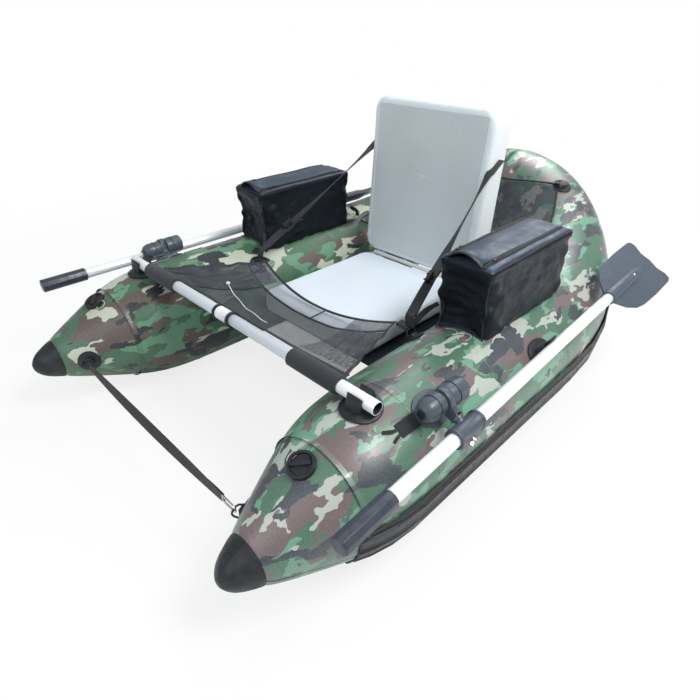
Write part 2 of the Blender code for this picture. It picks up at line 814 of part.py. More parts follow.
def make_bags():
    rim = BAG_TOP - LID_THICKNESS - GAP
    body = prism(bag_outline(0), TUBE_RADIUS, rim)
    hollow = prism(bag_outline(BAG_WALL), 2 * TUBE_RADIUS + BAG_FLOOR_ROOM, rim + OVERRUN)
    pair("bag", carved(body, cut=[hollow, grown_hull(GAP)]), "black_nylon")
    rings = []
    for height, inset in (
        (rim + GAP, 0), (BAG_TOP - LID_EDGE, 0),
        (BAG_TOP - LID_EDGE / 3, LID_EDGE / 3), (BAG_TOP, LID_EDGE),
    ):
        rings.append([Vector((x, y, height)) for x, y in bag_outline(inset)])
    hinge = (BAG_INNER_X + BAG_WIDTH, BAG_FRONT_Y + BAG_LENGTH / 2, rim + GAP / 2)
    recess = prism(bag_outline(BAG_WALL), rim, BAG_TOP - BAG_WALL)
    pair("bag_lid", carved(loft(rings), cut=[recess]), "black_nylon", hinge)


# Crossbar


def bar_z():
    top = spine(BAR_Y).z + bow_radius(BAR_Y)
    return top + BAR_LIFT + BAR_RADIUS


def along_bar(x):
    return frame(Vector((x, BAR_Y, bar_z())), AFT, OUT)


def make_crossbar():
    half = BAR_HALF_LENGTH
    inner = BAR_RADIUS - BAR_WALL
    to_port = pipe(BAR_RADIUS, inner, BAR_JOINT_X + GAP / 2, half)
    to_starboard = pipe(BAR_RADIUS, inner, -half, BAR_JOINT_X - GAP / 2)
    solid("port_bar_tube", moved(to_port, along_bar(0)), "satin_aluminium")
    solid("starboard_bar_tube", moved(to_starboard, along_bar(0)), "satin_aluminium")

    bore, ends = BAR_RADIUS + GAP, FERRULE_LENGTH / 2
    sleeve, ring = bore + FERRULE_WALL, bore + FERRULE_RING
    ferrule = turned([
        (bore, -ends), (ring, -ends), (ring, FERRULE_RING_LENGTH - ends),
        (sleeve, FERRULE_RING_LENGTH - ends), (sleeve, ends - FERRULE_RING_LENGTH),
        (ring, ends - FERRULE_RING_LENGTH), (ring, ends), (bore, ends),
    ], ROUND_SIDES, True)
    solid("bar_ferrule", moved(ferrule, along_bar(BAR_JOINT_X)), "satin_aluminium")

    foam = turned([
        (bore, 0), (bore + FOAM_WALL - FOAM_END, 0), (bore + FOAM_WALL, FOAM_END),
        (bore + FOAM_WALL, FOAM_LENGTH - FOAM_END),
        (bore + FOAM_WALL - FOAM_END, FOAM_LENGTH), (bore, FOAM_LENGTH),
    ], ROUND_SIDES, True)
    pair("foam_grip", moved(foam, along_bar(FOAM_INNER_X)), "black_foam")

    grip = BAR_RADIUS + GAP
    outside = grip + SADDLE_JAW
    mouth = math.radians(SADDLE_MOUTH_ANGLE)
    jaw_steps = 9
    slot = (grip + GAP) / math.cos((math.pi - mouth) / jaw_steps)
    profile = []
    for i in range(jaw_steps + 1):
        angle = mouth + (2 * math.pi - 2 * mouth) * i / jaw_steps
        profile.append((slot * math.sin(angle), slot * math.cos(angle)))
    foot = -grip - BAR_LIFT - SADDLE_DISC_THICKNESS
    profile += [
        (-outside * math.sin(mouth), SADDLE_JAW_TOP), (-outside, 0), (-outside, foot),
        (outside, foot), (outside, 0), (outside * math.sin(mouth), SADDLE_JAW_TOP),
    ]
    cradle = prism(profile, -SADDLE_WIDTH / 2, SADDLE_WIDTH / 2)
    centre = Vector((SADDLE_X, BAR_Y, bar_z()))
    cradle.transform(frame(centre, AFT, OUT))
    place = on_tube(BAR_Y, 90)
    place.translation.x = SADDLE_X
    disc = patch(place, oval(SADDLE_DISC, SADDLE_DISC, 24), SADDLE_DISC_THICKNESS)
    pair("bar_saddle", carved(disc, add=[cradle], cut=[grown_hull(GAP)]), "black_rubber")


# Apron and cargo net


def apron_surface(u, v):
    """u runs across to port, v runs aft from the crossbar to the rear hem."""
    front_y = BAR_Y + BAR_RADIUS + FOAM_WALL + 3 * GAP
    half = APRON_FRONT_HALF + (APRON_REAR_HALF - APRON_FRONT_HALF) * v
    rear_y = APRON_REAR_Y - APRON_REAR_BOW * (1 - u * u)
    y = front_y + (rear_y - front_y) * v
    edge_z = bar_z() + (APRON_REAR_Z - bar_z()) * v
    low = SEAT_TOP + APRON_CLEAR + APRON_THICKNESS
    hang = (1 - u * u) * math.sin(math.pi / 2 * v)
    fold = APRON_SAG * (1 - u * u) * math.sin(math.pi * v)
    return Vector((half * u, y, edge_z + (low - edge_z) * hang + max(-fold, (low - edge_z) * (1 - hang)) / 2))


def make_apron():
    apron = sheet(apron_surface, APRON_ACROSS, APRON_ALONG, APRON_THICKNESS)
    solid("apron", apron, "black_net")
    place, lean = strap_ring()
    bar = ring_bar(place, lean)
    half_width = APRON_BUCKLE_WIDTH / 2
    corner = apron_surface(1, 1)
    front = apron_surface(1, 0)
    slope = (front.x - corner.x) / (corner.y - front.y)
    reach = corner.x + slope * (corner.y - bar.y + half_width) + GAP
    start = Vector((reach, bar.y, corner.z - APRON_THICKNESS / 2))
    end = bar - OUT * (RING_WIRE + 2 * GAP)
    placed = frame(start, end - start, (end - start).cross(AFT))
    half_thick = APRON_BUCKLE_THICKNESS / 2
    buckle = box((0, -half_width, -half_thick), ((end - start).length, half_width, half_thick))
    bmesh.ops.bevel(
        buckle, geom=buckle.edges[:], offset=APRON_BUCKLE_THICKNESS / 5, segments=1, affect="EDGES"
    )
    pair("apron_buckle", moved(buckle, placed), "black_plastic")


def net_ring():
    return on_bend(NET_RING_TURN, NET_RING_ANGLE), math.radians(NET_RING_LEAN)


def net_surface(deck, u, v):
    """u runs across to port, v runs aft from behind the bags to the rings on the stern."""
    place, lean = net_ring()
    inward = (ring_frame(place, lean).to_3x3() @ UP).normalized()
    corner = ring_bar(place, lean) + inward * (RING_WIRE + 2 * GAP)
    corner.z += NET_THICKNESS / 2
    corner_angle = NET_RING_ANGLE + math.degrees(RING_DEPTH / TUBE_RADIUS)
    turn = NET_FRONT_TURN + (NET_RING_TURN - NET_FRONT_TURN) * v
    angle = NET_FRONT_ANGLE + (corner_angle - NET_FRONT_ANGLE) * v
    edge = on_bend(turn, angle) @ Vector((0, 0, NET_LIFT))
    edge = edge.lerp(corner, v ** 6)
    middle = 1 - u * u
    bow = NET_FRONT_BOW * (1 - v) - NET_REAR_BOW * v
    sag = NET_SAG * (1 - v) + NET_REAR_SAG * v
    point = Vector((edge.x * u, edge.y + bow * middle, edge.z - sag * middle))
    above = Vector((abs(point.x), point.y, point.z + OVERRUN))
    met, _, _, _ = deck.ray_cast(above, -UP, OVERRUN)
    if met:
        point.z = met.z
    return point


def make_net():
    deck = BVHTree.FromBMesh(grown_hull(NET_LIFT))

    def surface(u, v):
        return net_surface(deck, u, v)

    net = sheet(surface, NET_ACROSS, NET_ALONG, NET_THICKNESS)
    solid("cargo_net", net, "black_net")
    pair("net_anchor", ring_patch(*net_ring()), "black_rubber")


# Valves


def make_valves():
    place = on_tube(VALVE_Y, VALVE_ANGLE)
    recess = VALVE_RADIUS - VALVE_RIM
    body = turned([
        (VALVE_RADIUS, -OVERRUN / 2), (VALVE_RADIUS, VALVE_HEIGHT - VALVE_RIM / 4),
        (VALVE_RADIUS - VALVE_RIM / 4, VALVE_HEIGHT), (recess, VALVE_HEIGHT),
        (recess, VALVE_HEIGHT - VALVE_RECESS),
    ], 22)
    body = carved(moved(body, place), cut=[grown_hull(GAP)])
    pair("valve_body", body, "black_rubber")
    floor = VALVE_HEIGHT - VALVE_RECESS + GAP
    cap_radius = recess - GAP
    top = floor + VALVE_CAP_THICKNESS
    disc = turned([
        (cap_radius, floor), (cap_radius, top - VALVE_CAP_THICKNESS / 3),
        (cap_radius - VALVE_CAP_THICKNESS / 3, top),
    ], 22)
    reach = cap_radius - VALVE_RIM / 3
    grip = box(
        (-reach, -VALVE_BAR_WIDTH / 2, floor + VALVE_CAP_THICKNESS / 2),
        (reach, VALVE_BAR_WIDTH / 2, top + VALVE_BAR_HEIGHT),
    )
    grip.transform(Matrix.Rotation(math.radians(VALVE_BAR_TURN), 4, "Z"))
    cap = moved(carved(disc, add=[grip]), place)
    pair("valve_cap", cap, "black_plastic", place.translation)


# Oars


def oar_frame():
    """The port oar's frame: origin at the grip's end, Z aft along the shaft, X out of the blade's face."""
    yaw, rise = math.radians(OAR_YAW), math.radians(OAR_RISE)
    along = Vector((-math.sin(yaw) * math.cos(rise), math.cos(yaw) * math.cos(rise), math.sin(rise)))
    tilt = math.radians(BLADE_TILT)
    face = Vector((math.sin(tilt), 0, math.cos(tilt)))
    return frame(Vector(OAR_GRIP_END), face, along)


def swivel_frame():
    """The rowlock's frame: Z out of the tube along the swivel pin, X towards the collar, Y aft."""
    return on_tube(ROWLOCK_Y, ROWLOCK_ANGLE)


def collar_point():
    return oar_frame() @ Vector((0, 0, COLLAR_PLACE))


def rowlock_plan():
    """The collar's centre in the rowlock's frame, and the frame of the cross bolt through it."""
    seat = swivel_frame()
    local = seat.inverted() @ collar_point()
    axis = seat.to_3x3() @ Vector((1, 0, 0))
    bolt = frame(collar_point(), AFT, axis)
    return local, bolt


def blade_outline():
    right = [(BLADE_HALF_WIDTH * wide, BLADE_LENGTH * far) for wide, far in BLADE_SHARES]
    return right + [(-x, y) for x, y in reversed(right[:-1])]


def make_oars():
    """Every oar piece is shaped in the oar's own frame and then put in place."""
    placed = oar_frame()
    centre = collar_point()
    pivots = (
        pivot_empty("port_oar_pivot", centre),
        pivot_empty("starboard_oar_pivot", centre * Vector((-1, 1, 1))),
    )
    bolt = placed.inverted() @ rowlock_plan()[1]
    bore, socket = SHAFT_RADIUS + GAP, OAR_TO_SOCKET
    button_frame = frame(Vector((0, 0, socket + BUTTON_PLACE)), UP, OUT)

    def bolt_hole():
        return moved(running_bore(BOLT_RADIUS, -OVERRUN, OVERRUN), bolt)

    def button_hole():
        return moved(rod(BUTTON_RADIUS + GAP, 0, OVERRUN, 10), button_frame)

    def oar_piece(name, mesh, finish, pivot=centre):
        pair(name, moved(mesh, placed), finish, pivot, pivots)

    shaft = pipe(
        SHAFT_RADIUS, SHAFT_RADIUS - SHAFT_WALL, GRIP_WALL + GAP, socket + SHAFT_IN_SOCKET
    )
    oar_piece("oar_shaft", carved(shaft, cut=[bolt_hole(), button_hole()]), "white_aluminium")

    grip_rings = []
    for height, grow in (
        (0, -GRIP_WALL / 2), (GRIP_WALL / 2, 0), (GRIP_LENGTH - GRIP_WALL / 2, 0),
        (GRIP_LENGTH, -GRIP_WALL / 2),
    ):
        ring = []
        for i, point in enumerate(circle(1, 0, 2 * GRIP_FLUTES)):
            reach = bore + GRIP_WALL + grow - (i % 2) * GRIP_FLUTE
            ring.append(Vector((point.x * reach, point.y * reach, height)))
        grip_rings.append(ring)
    socket_hole = rod(bore, GRIP_WALL, GRIP_LENGTH + OVERRUN)
    oar_piece("oar_grip", carved(loft(grip_rings), cut=[socket_hole]), "black_rubber")

    plate = prism(blade_outline(), -BLADE_THICKNESS / 2, BLADE_THICKNESS / 2)
    plate.transform(frame(Vector((0, 0, socket)), AFT, OUT))
    boss = turned([
        (bore + SOCKET_WALL, socket), (bore + SOCKET_WALL, socket + SOCKET_ROUND_END),
        (SOCKET_END_RADIUS, socket + SOCKET_END),
    ])
    hollow = rod(bore, socket - OVERRUN, socket + SHAFT_IN_SOCKET + GAP)
    blade = carved(boss, add=[plate], cut=[hollow, button_hole()])
    oar_piece("oar_blade", blade, "slate_plastic")

    inside = (SHAFT_RADIUS - SHAFT_WALL) * math.cos(math.pi / ROUND_SIDES)
    flange_top = math.sqrt(inside ** 2 - BUTTON_FLANGE ** 2) - GAP
    proud = bore + SOCKET_WALL
    cup = BUTTON_RADIUS - BUTTON_WALL
    button = turned([
        (cup, proud), (cup, flange_top - BUTTON_FLANGE_THICKNESS),
        (BUTTON_FLANGE, flange_top - BUTTON_FLANGE_THICKNESS), (BUTTON_FLANGE, flange_top),
        (BUTTON_RADIUS, flange_top), (BUTTON_RADIUS, proud + BUTTON_PROUD / 2),
        (BUTTON_RADIUS / 2, proud + BUTTON_PROUD),
    ], 10)
    spot = placed @ button_frame @ Vector((0, 0, proud))
    oar_piece("oar_snap_button", moved(button, button_frame), "steel", spot)

    rim, half = bore + COLLAR_WALL, COLLAR_LENGTH / 2
    collar = turned([
        (bore, -half), (rim, -half), (rim, COLLAR_RIM_LENGTH - half),
        (rim - COLLAR_RIM, COLLAR_RIM_LENGTH - half), (rim - COLLAR_RIM, half - COLLAR_RIM_LENGTH),
        (rim, half - COLLAR_RIM_LENGTH), (rim, half), (bore, half),
    ], ROUND_SIDES, True)
    collar.transform(Matrix.Translation((0, 0, COLLAR_PLACE)))
    lug = rod(COLLAR_LUG_RADIUS, -rim - COLLAR_RIM, -bore - COLLAR_WALL / 3, 12)
    collar = carved(collar, add=[moved(lug, bolt)], cut=[bolt_hole()])
    oar_piece("oar_collar", collar, "black_plastic")

    eye_inner = -rim - COLLAR_RIM - GAP - EYE_THICKNESS
    nut = rim + GAP
    wing = nut + WING_HUB_LENGTH / 3
    shank = running_rod(
        BOLT_RADIUS, eye_inner - GAP - BOLT_HEAD_THICKNESS / 2, nut + WING_HUB_LENGTH / 2
    )
    head = rod(BOLT_HEAD_RADIUS, eye_inner - GAP - BOLT_HEAD_THICKNESS, eye_inner - GAP, 6)
    hub = rod(WING_HUB_RADIUS, nut, nut + WING_HUB_LENGTH, 10)
    wings = [
        box((low, -WING_THICKNESS / 2, wing), (high, WING_THICKNESS / 2, wing + WING_HEIGHT))
        for low, high in ((-WING_REACH, -BOLT_RADIUS), (BOLT_RADIUS, WING_REACH))
    ]
    oar_piece("collar_bolt", moved(carved(shank, add=[head, hub, *wings]), bolt), "steel")


def barrel(radius, near, far, round_off):
    """One barrel of the rowlock head, along Z, with a soft near edge and a rounded far end."""
    edge = radius / 12
    return turned([
        (radius - edge, near), (radius, near + edge), (radius, far - round_off),
        (radius - round_off / 4, far - round_off / 3), (radius - round_off / 1.6, far),
    ], 18)


def running_rod(radius, start, end):
    return rod(radius, start, end, RUNNING_SIDES)


def running_bore(radius, start, end):
    """A hole whose flats clear a turning pin of the given radius."""
    return rod((radius + RUNNING_GAP) / math.cos(math.pi / RUNNING_SIDES), start, end, RUNNING_SIDES)


def make_rowlock_block(seat):
    rings = []
    for height, inset in (
        (-OVERRUN / 2, 0), (BLOCK_HEIGHT / 2, 0), (BLOCK_HEIGHT * 0.8, BLOCK_HEIGHT / 6),
        (BLOCK_HEIGHT, BLOCK_HEIGHT / 2),
    ):
        low = (-BLOCK_HALF_WIDTH + inset, -BLOCK_HALF_LENGTH + inset)
        high = (BLOCK_HALF_WIDTH - inset, BLOCK_HALF_LENGTH - inset)
        outline = rounded(low, high, BLOCK_HALF_WIDTH - inset - GAP, 4)
        rings.append([Vector((x, y, height)) for x, y in outline])
    boss = rod(BLOCK_BOSS_RADIUS, 0, BLOCK_BOSS_HEIGHT, 16)
    hole = running_bore(
        SWIVEL_PIN_RADIUS, BLOCK_BOSS_HEIGHT - SWIVEL_PIN_DEPTH - 2 * GAP, BLOCK_BOSS_HEIGHT + OVERRUN
    )
    pad = patch(
        seat, oval(BLOCK_HALF_WIDTH + BLOCK_PAD_MARGIN, BLOCK_HALF_LENGTH + BLOCK_PAD_MARGIN, 24),
        PATCH_THICKNESS,
    )
    return carved(
        moved(loft(rings), seat), add=[moved(boss, seat), pad],
        cut=[moved(hole, seat), grown_hull(GAP)],
    )


def make_rowlock_head(local):
    """The turning head: pin, keel, two barrels in line, and between them the arm to the collar."""
    low = BLOCK_BOSS_HEIGHT + GAP
    axis = Matrix.Translation((0, 0, HEAD_AXIS_HEIGHT))
    forward, aft = axis @ frame(Vector(), OUT, -AFT), axis @ frame(Vector(), OUT, AFT)
    front, rear = moved(barrel(*FRONT_BARREL), forward), moved(barrel(*REAR_BARREL), aft)
    core = moved(rod(HEAD_CORE_RADIUS, -REAR_BARREL[1] - GAP, REAR_BARREL[1] + GAP), aft)
    pin = running_rod(SWIVEL_PIN_RADIUS, BLOCK_BOSS_HEIGHT - SWIVEL_PIN_DEPTH, low + GAP)
    plate = rod(BLOCK_BOSS_RADIUS, low, HEAD_AXIS_HEIGHT - HEAD_CORE_RADIUS / 2, 16)
    keel = box(
        (-HEAD_KEEL_HALF_WIDTH, -FRONT_BARREL[2] + FRONT_BARREL[3], low + GAP),
        (HEAD_KEEL_HALF_WIDTH, REAR_BARREL[2] - REAR_BARREL[3], HEAD_AXIS_HEIGHT),
    )
    rim = SHAFT_RADIUS + GAP + COLLAR_WALL
    eye_out = local.x - rim - COLLAR_RIM - GAP
    arc_steps = 6
    arch = []
    for i in range(arc_steps + 1):
        angle = math.radians(35 + 110 * i / arc_steps)
        arch.append((ARM_RADIUS * math.cos(angle), HEAD_AXIS_HEIGHT + ARM_RADIUS * math.sin(angle)))
    arch += [
        (-HEAD_CORE_RADIUS, HEAD_AXIS_HEIGHT), (0, HEAD_AXIS_HEIGHT - HEAD_CORE_RADIUS),
        (eye_out - EYE_THICKNESS, local.z - EYE_RADIUS), (eye_out - GAP, local.z - EYE_RADIUS),
        (eye_out - GAP, local.z + EYE_RADIUS * 0.8),
    ]
    arm = prism(arch, -ARM_HALF_WIDTH, ARM_HALF_WIDTH)
    arm.transform(frame(Vector(), OUT, -AFT))
    eye = rod(EYE_RADIUS, eye_out - EYE_THICKNESS, eye_out, 16)
    eye.transform(frame(Vector((0, local.y, local.z)), AFT, OUT))
    hole = running_bore(BOLT_RADIUS, -OVERRUN, OVERRUN)
    hole.transform(frame(Vector((eye_out, local.y, local.z)), AFT, OUT))
    inner, half_room = eye_out - EYE_THICKNESS, BOLT_HEAD_RADIUS + BOLT_ROOM
    pocket = box(
        (inner - BOLT_HEAD_THICKNESS - GAP - BOLT_ROOM, local.y - half_room, local.z - half_room),
        (inner, local.y + half_room, local.z + OVERRUN),
    )
    return carved(plate, add=[pin, core, keel, front, rear, arm, eye], cut=[hole, pocket])


def make_rowlocks():
    seat = swivel_frame()
    pair("rowlock_block", make_rowlock_block(seat), "black_rubber")
    pivots = (
        pivot_empty("port_rowlock_pivot", seat.translation),
        pivot_empty("starboard_rowlock_pivot", seat.translation * Vector((-1, 1, 1))),
    )
    head = moved(make_rowlock_head(rowlock_plan()[0]), seat)
    pair("rowlock_arm", head, "black_plastic", seat.translation, pivots)


def make_clips():
    """A cradle open upwards and outwards, so that the oar can lift and swing out of it."""
    placed = oar_frame()
    run = (CLIP_Y - OAR_GRIP_END[1]) / (placed.to_3x3() @ UP).y
    along = placed.to_3x3() @ UP
    centre = placed @ Vector((0, 0, run))
    seat = swivel_frame().to_3x3()
    lift = seat @ Vector((0, 0, 1))
    here = frame(centre, along.cross(lift), along)
    if (here.to_3x3() @ OUT).x < 0:
        here = frame(centre, lift.cross(along), along)
    bore, tip = SHAFT_RADIUS + 2 * GAP, CLIP_LIP
    wall = bore + CLIP_WALL
    side = 1 if (here.to_3x3() @ AFT).dot(lift) > 0 else -1
    profile = [
        (-bore, side * tip), (-bore, 0), (0, -side * bore), (tip, -side * bore), (tip, -side * wall),
        (-bore / 2, -side * wall), (-wall, -side * bore / 2), (-wall, side * tip),
    ]
    cradle = moved(prism(profile, -CLIP_LENGTH / 2, CLIP_LENGTH / 2), here)

    spread = centre - spine(CLIP_Y)
    angle = math.degrees(math.atan2(spread.z, spread.x))
    foot = on_tube(centre.y, angle)
    reach = (spread.xz.length - TUBE_RADIUS) - bore - CLIP_WALL / 3
    stem = moved(box(
        (-CLIP_STEM / 2, -CLIP_LENGTH / 2, 0), (CLIP_STEM / 2, CLIP_LENGTH / 2, reach)
    ), foot)
    pad = patch(foot, oval(CLIP_PAD_HALF_WIDTH, CLIP_PAD_HALF_LENGTH), PATCH_THICKNESS)
    cleared = (bore + GAP) / math.cos(math.pi / RUNNING_SIDES)
    room = moved(rod(cleared, -OVERRUN, OVERRUN, RUNNING_SIDES), here)
    clip = carved(cradle, add=[stem, pad], cut=[room, grown_hull(GAP)])
    pair("oar_clip", clip, "black_rubber")


# Bow strap


def make_bow_strap():
    """The strap ties the bows together, and its hook links the port ring."""
    place = on_tube(BOW_RING_Y, 180)
    pair("bow_ring", ring_patch(place, 0), "black_rubber")
    bar = ring_bar(place, 0)
    tip = bar + OUT * (RING_WIRE + HOOK_WIRE + 2 * GAP)
    half = HOOK_HALF_WIDTH
    points = []
    arc_steps = 6
    for i in range(arc_steps + 1):
        angle = -math.pi / 2 + math.pi * i / arc_steps
        points.append(tip + Vector((half * (math.cos(angle) - 1), 0, half * math.sin(angle))))
    eye = HOOK_LENGTH - HOOK_WIRE
    points += [tip + Vector((-eye, 0, half)), tip + Vector((-eye, 0, -half))]
    solid("bow_snap_hook", wire(points, AFT, HOOK_WIRE, 8), "steel")

    port_end = tip - OUT * (HOOK_LENGTH + GAP)
    starboard_end = bar * Vector((-1, 1, 1)) + OUT * (RING_WIRE + 2 * GAP)
    steps = 8
    path = []
    for i in range(steps + 1):
        share = i / steps
        point = starboard_end.lerp(port_end, share)
        point.z -= BOW_STRAP_SAG * math.sin(math.pi * share) ** 2
        path.append(point)
    strap = strap_mesh(path, [AFT] * len(path), WEBBING, WEBBING_THICKNESS)
    solid("bow_strap", strap, "black_webbing")


def main():
    clear_scene()
    make_hull()
    make_strakes()
    make_seat()
    make_straps()
    make_bags()
    make_crossbar()
    make_apron()
    make_net()
    make_valves()
    make_oars()
    make_rowlocks()
    make_clips()
    make_bow_strap()


main()
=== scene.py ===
import json
import math
import random

import bpy
from mathutils import Matrix, Vector, noise
from mathutils.bvhtree import BVHTree

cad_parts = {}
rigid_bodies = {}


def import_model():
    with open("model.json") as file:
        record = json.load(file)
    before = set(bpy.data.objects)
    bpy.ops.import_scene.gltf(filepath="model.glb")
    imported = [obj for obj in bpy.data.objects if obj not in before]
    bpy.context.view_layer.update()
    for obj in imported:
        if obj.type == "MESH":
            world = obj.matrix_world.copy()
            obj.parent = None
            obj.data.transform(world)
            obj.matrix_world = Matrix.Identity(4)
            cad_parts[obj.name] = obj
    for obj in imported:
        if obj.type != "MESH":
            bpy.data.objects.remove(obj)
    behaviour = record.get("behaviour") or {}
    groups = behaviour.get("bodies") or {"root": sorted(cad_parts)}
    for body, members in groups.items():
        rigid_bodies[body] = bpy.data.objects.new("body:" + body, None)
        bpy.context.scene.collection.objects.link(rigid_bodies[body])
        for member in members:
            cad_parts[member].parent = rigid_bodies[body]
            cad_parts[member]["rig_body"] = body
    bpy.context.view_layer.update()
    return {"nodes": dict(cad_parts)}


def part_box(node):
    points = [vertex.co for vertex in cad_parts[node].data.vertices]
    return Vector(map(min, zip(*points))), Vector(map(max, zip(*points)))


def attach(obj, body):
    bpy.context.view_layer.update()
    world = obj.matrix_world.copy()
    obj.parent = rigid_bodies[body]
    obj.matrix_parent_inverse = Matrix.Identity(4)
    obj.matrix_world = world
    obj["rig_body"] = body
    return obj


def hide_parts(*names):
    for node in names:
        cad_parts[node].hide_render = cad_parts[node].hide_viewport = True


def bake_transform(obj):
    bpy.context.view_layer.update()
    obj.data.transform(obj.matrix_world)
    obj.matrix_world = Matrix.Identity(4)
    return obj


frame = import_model()
nodes = frame["nodes"]
up, aft, out = Vector((0, 0, 1)), Vector((0, 1, 0)), Vector((1, 0, 0))
sides = (("port", 1), ("starboard", -1))


# Camera, lamps and floor

camera = {"place": (0.972, -1.109, 0.957), "azimuth": 45.0, "pitch": 33.05, "pixels": 520.0, "frame": 700.0}
studio = {"sky": 0.50, "keyPower": 86.0, "fillPower": 19.0, "backPower": 50.0, "floorSize": 30.0, "floorGlow": 0.80}


def makeCamera():
    turn, pitch = math.radians(camera["azimuth"]), math.radians(camera["pitch"])
    back = Vector((math.sin(turn) * math.cos(pitch), -math.cos(turn) * math.cos(pitch), math.sin(pitch)))
    bpy.ops.object.camera_add(location=camera["place"])
    made = bpy.context.object
    made.name = "camera"
    made.rotation_mode = "QUATERNION"
    made.rotation_quaternion = (-back).to_track_quat("-Z", "Y")
    made.data.sensor_width = 36
    made.data.lens = 36 * camera["pixels"] / camera["frame"]
    made.data.clip_start, made.data.clip_end = 0.02, 60
    bpy.context.scene.camera = made


def makeLamp(name, place, size, power, tint):
    bpy.ops.object.light_add(type="AREA", location=place)
    lamp = bpy.context.object
    lamp.name = name
    lamp.data.shape = "DISK"
    lamp.data.size = size
    lamp.data.energy = power
    lamp.data.color = tint
    lamp.rotation_mode = "QUATERNION"
    lamp.rotation_quaternion = (Vector((0, 0, 0.25)) - Vector(place)).to_track_quat("-Z", "Y")


def makeStudio():
    world = bpy.data.worlds.new("paleRoom")
    bpy.context.scene.world = world
    world.use_nodes = True
    tree = world.node_tree
    tree.nodes.clear()
    paths = tree.nodes.new("ShaderNodeLightPath")
    through = tree.nodes.new("ShaderNodeMath")
    through.operation = "MAXIMUM"
    tree.links.new(paths.outputs["Is Camera Ray"], through.inputs[0])
    tree.links.new(paths.outputs["Is Transmission Ray"], through.inputs[1])
    dim, white = tree.nodes.new("ShaderNodeBackground"), tree.nodes.new("ShaderNodeBackground")
    dim.inputs["Color"].default_value = (0.93, 0.96, 1, 1)
    dim.inputs["Strength"].default_value = studio["sky"]
    white.inputs["Color"].default_value = (1, 1, 1, 1)
    white.inputs["Strength"].default_value = 1
    blend = tree.nodes.new("ShaderNodeMixShader")
    result = tree.nodes.new("ShaderNodeOutputWorld")
    tree.links.new(through.outputs[0], blend.inputs[0])
    tree.links.new(dim.outputs[0], blend.inputs[1])
    tree.links.new(white.outputs[0], blend.inputs[2])
    tree.links.new(blend.outputs[0], result.inputs["Surface"])
    makeLamp("keyLamp", (1.9, 0.3, 2.9), 1.5, studio["keyPower"], (1, 0.99, 0.97))
    makeLamp("fillLamp", (0.4, -2.6, 1.9), 2.2, studio["fillPower"], (0.92, 0.96, 1))
    makeLamp("backLamp", (-0.6, 2.6, 2.6), 2.0, studio["backPower"], (0.96, 0.98, 1))


def makeFloor():
    bpy.ops.mesh.primitive_grid_add(x_subdivisions=8, y_subdivisions=8, size=studio["floorSize"])
    floor = bpy.context.object
    floor.name = "floor"
    mat = bpy.data.materials.new("paleFloor")
    mat.use_nodes = True
    tree = mat.node_tree
    tree.nodes.clear()
    paths = tree.nodes.new("ShaderNodeLightPath")
    amount = tree.nodes.new("ShaderNodeMath")
    amount.operation = "MULTIPLY"
    coords, away = tree.nodes.new("ShaderNodeTexCoord"), tree.nodes.new("ShaderNodeVectorMath")
    away.operation = "LENGTH"
    fade = tree.nodes.new("ShaderNodeMapRange")
    fade.interpolation_type = "SMOOTHSTEP"
    for socket, value in zip(fade.inputs[1:5], (1.1, 2.6, studio["floorGlow"], 1.0)):
        socket.default_value = value
    tree.links.new(coords.outputs["Object"], away.inputs[0])
    tree.links.new(away.outputs["Value"], fade.inputs[0])
    tree.links.new(fade.outputs[0], amount.inputs[1])
    tree.links.new(paths.outputs["Is Camera Ray"], amount.inputs[0])
    matt, glow = tree.nodes.new("ShaderNodeBsdfDiffuse"), tree.nodes.new("ShaderNodeEmission")
    matt.inputs["Color"].default_value = (0.86, 0.86, 0.86, 1)
    glow.inputs["Color"].default_value = (1, 1, 1, 1)
    glow.inputs["Strength"].default_value = 1
    blend, result = tree.nodes.new("ShaderNodeMixShader"), tree.nodes.new("ShaderNodeOutputMaterial")
    tree.links.new(amount.outputs[0], blend.inputs[0])
    tree.links.new(matt.outputs[0], blend.inputs[1])
    tree.links.new(glow.outputs[0], blend.inputs[2])
    tree.links.new(blend.outputs[0], result.inputs["Surface"])
    floor.data.materials.append(mat)


bpy.context.scene.view_settings.view_transform = "Standard"
makeCamera()
makeStudio()
makeFloor()
print("camera, lamps and floor are in place")


# Shared ways of shaping

def pick(obj):
    bpy.ops.object.select_all(action="DESELECT")
    obj.select_set(True)
    bpy.context.view_layer.objects.active = obj


def dress(obj, finish, smooth=True):
    obj.data.materials.clear()
    obj.data.materials.append(finish)
    pick(obj)
    if smooth:
        bpy.ops.object.shade_smooth_by_angle(angle=math.radians(40))
    return obj


def settle(obj, kind, **values):
    made = obj.modifiers.new(kind.lower(), kind)
    for name, value in values.items():
        setattr(made, name, value)
    pick(obj)
    bpy.ops.object.modifier_apply(modifier=made.name)


def smoothPath(points, steps=6):
    """Points along a curve through the given ones."""
    spots = [Vector(p) for p in points]
    if len(spots) < 3:
        return [spots[0].lerp(spots[-1], i / steps) for i in range(steps + 1)]
    spots = [2 * spots[0] - spots[1]] + spots + [2 * spots[-1] - spots[-2]]
    path = []
    for a, b, c, d in zip(spots, spots[1:], spots[2:], spots[3:]):
        for i in range(steps):
            t = i / steps
            path.append(((2 * b) + (c - a) * t + (2 * a - 5 * b + 4 * c - d) * t * t
                         + (3 * b - a - 3 * c + d) * t * t * t) / 2)
    return path + [spots[-2]]


def pathLength(path):
    return sum((b - a).length for a, b in zip(path, path[1:]))


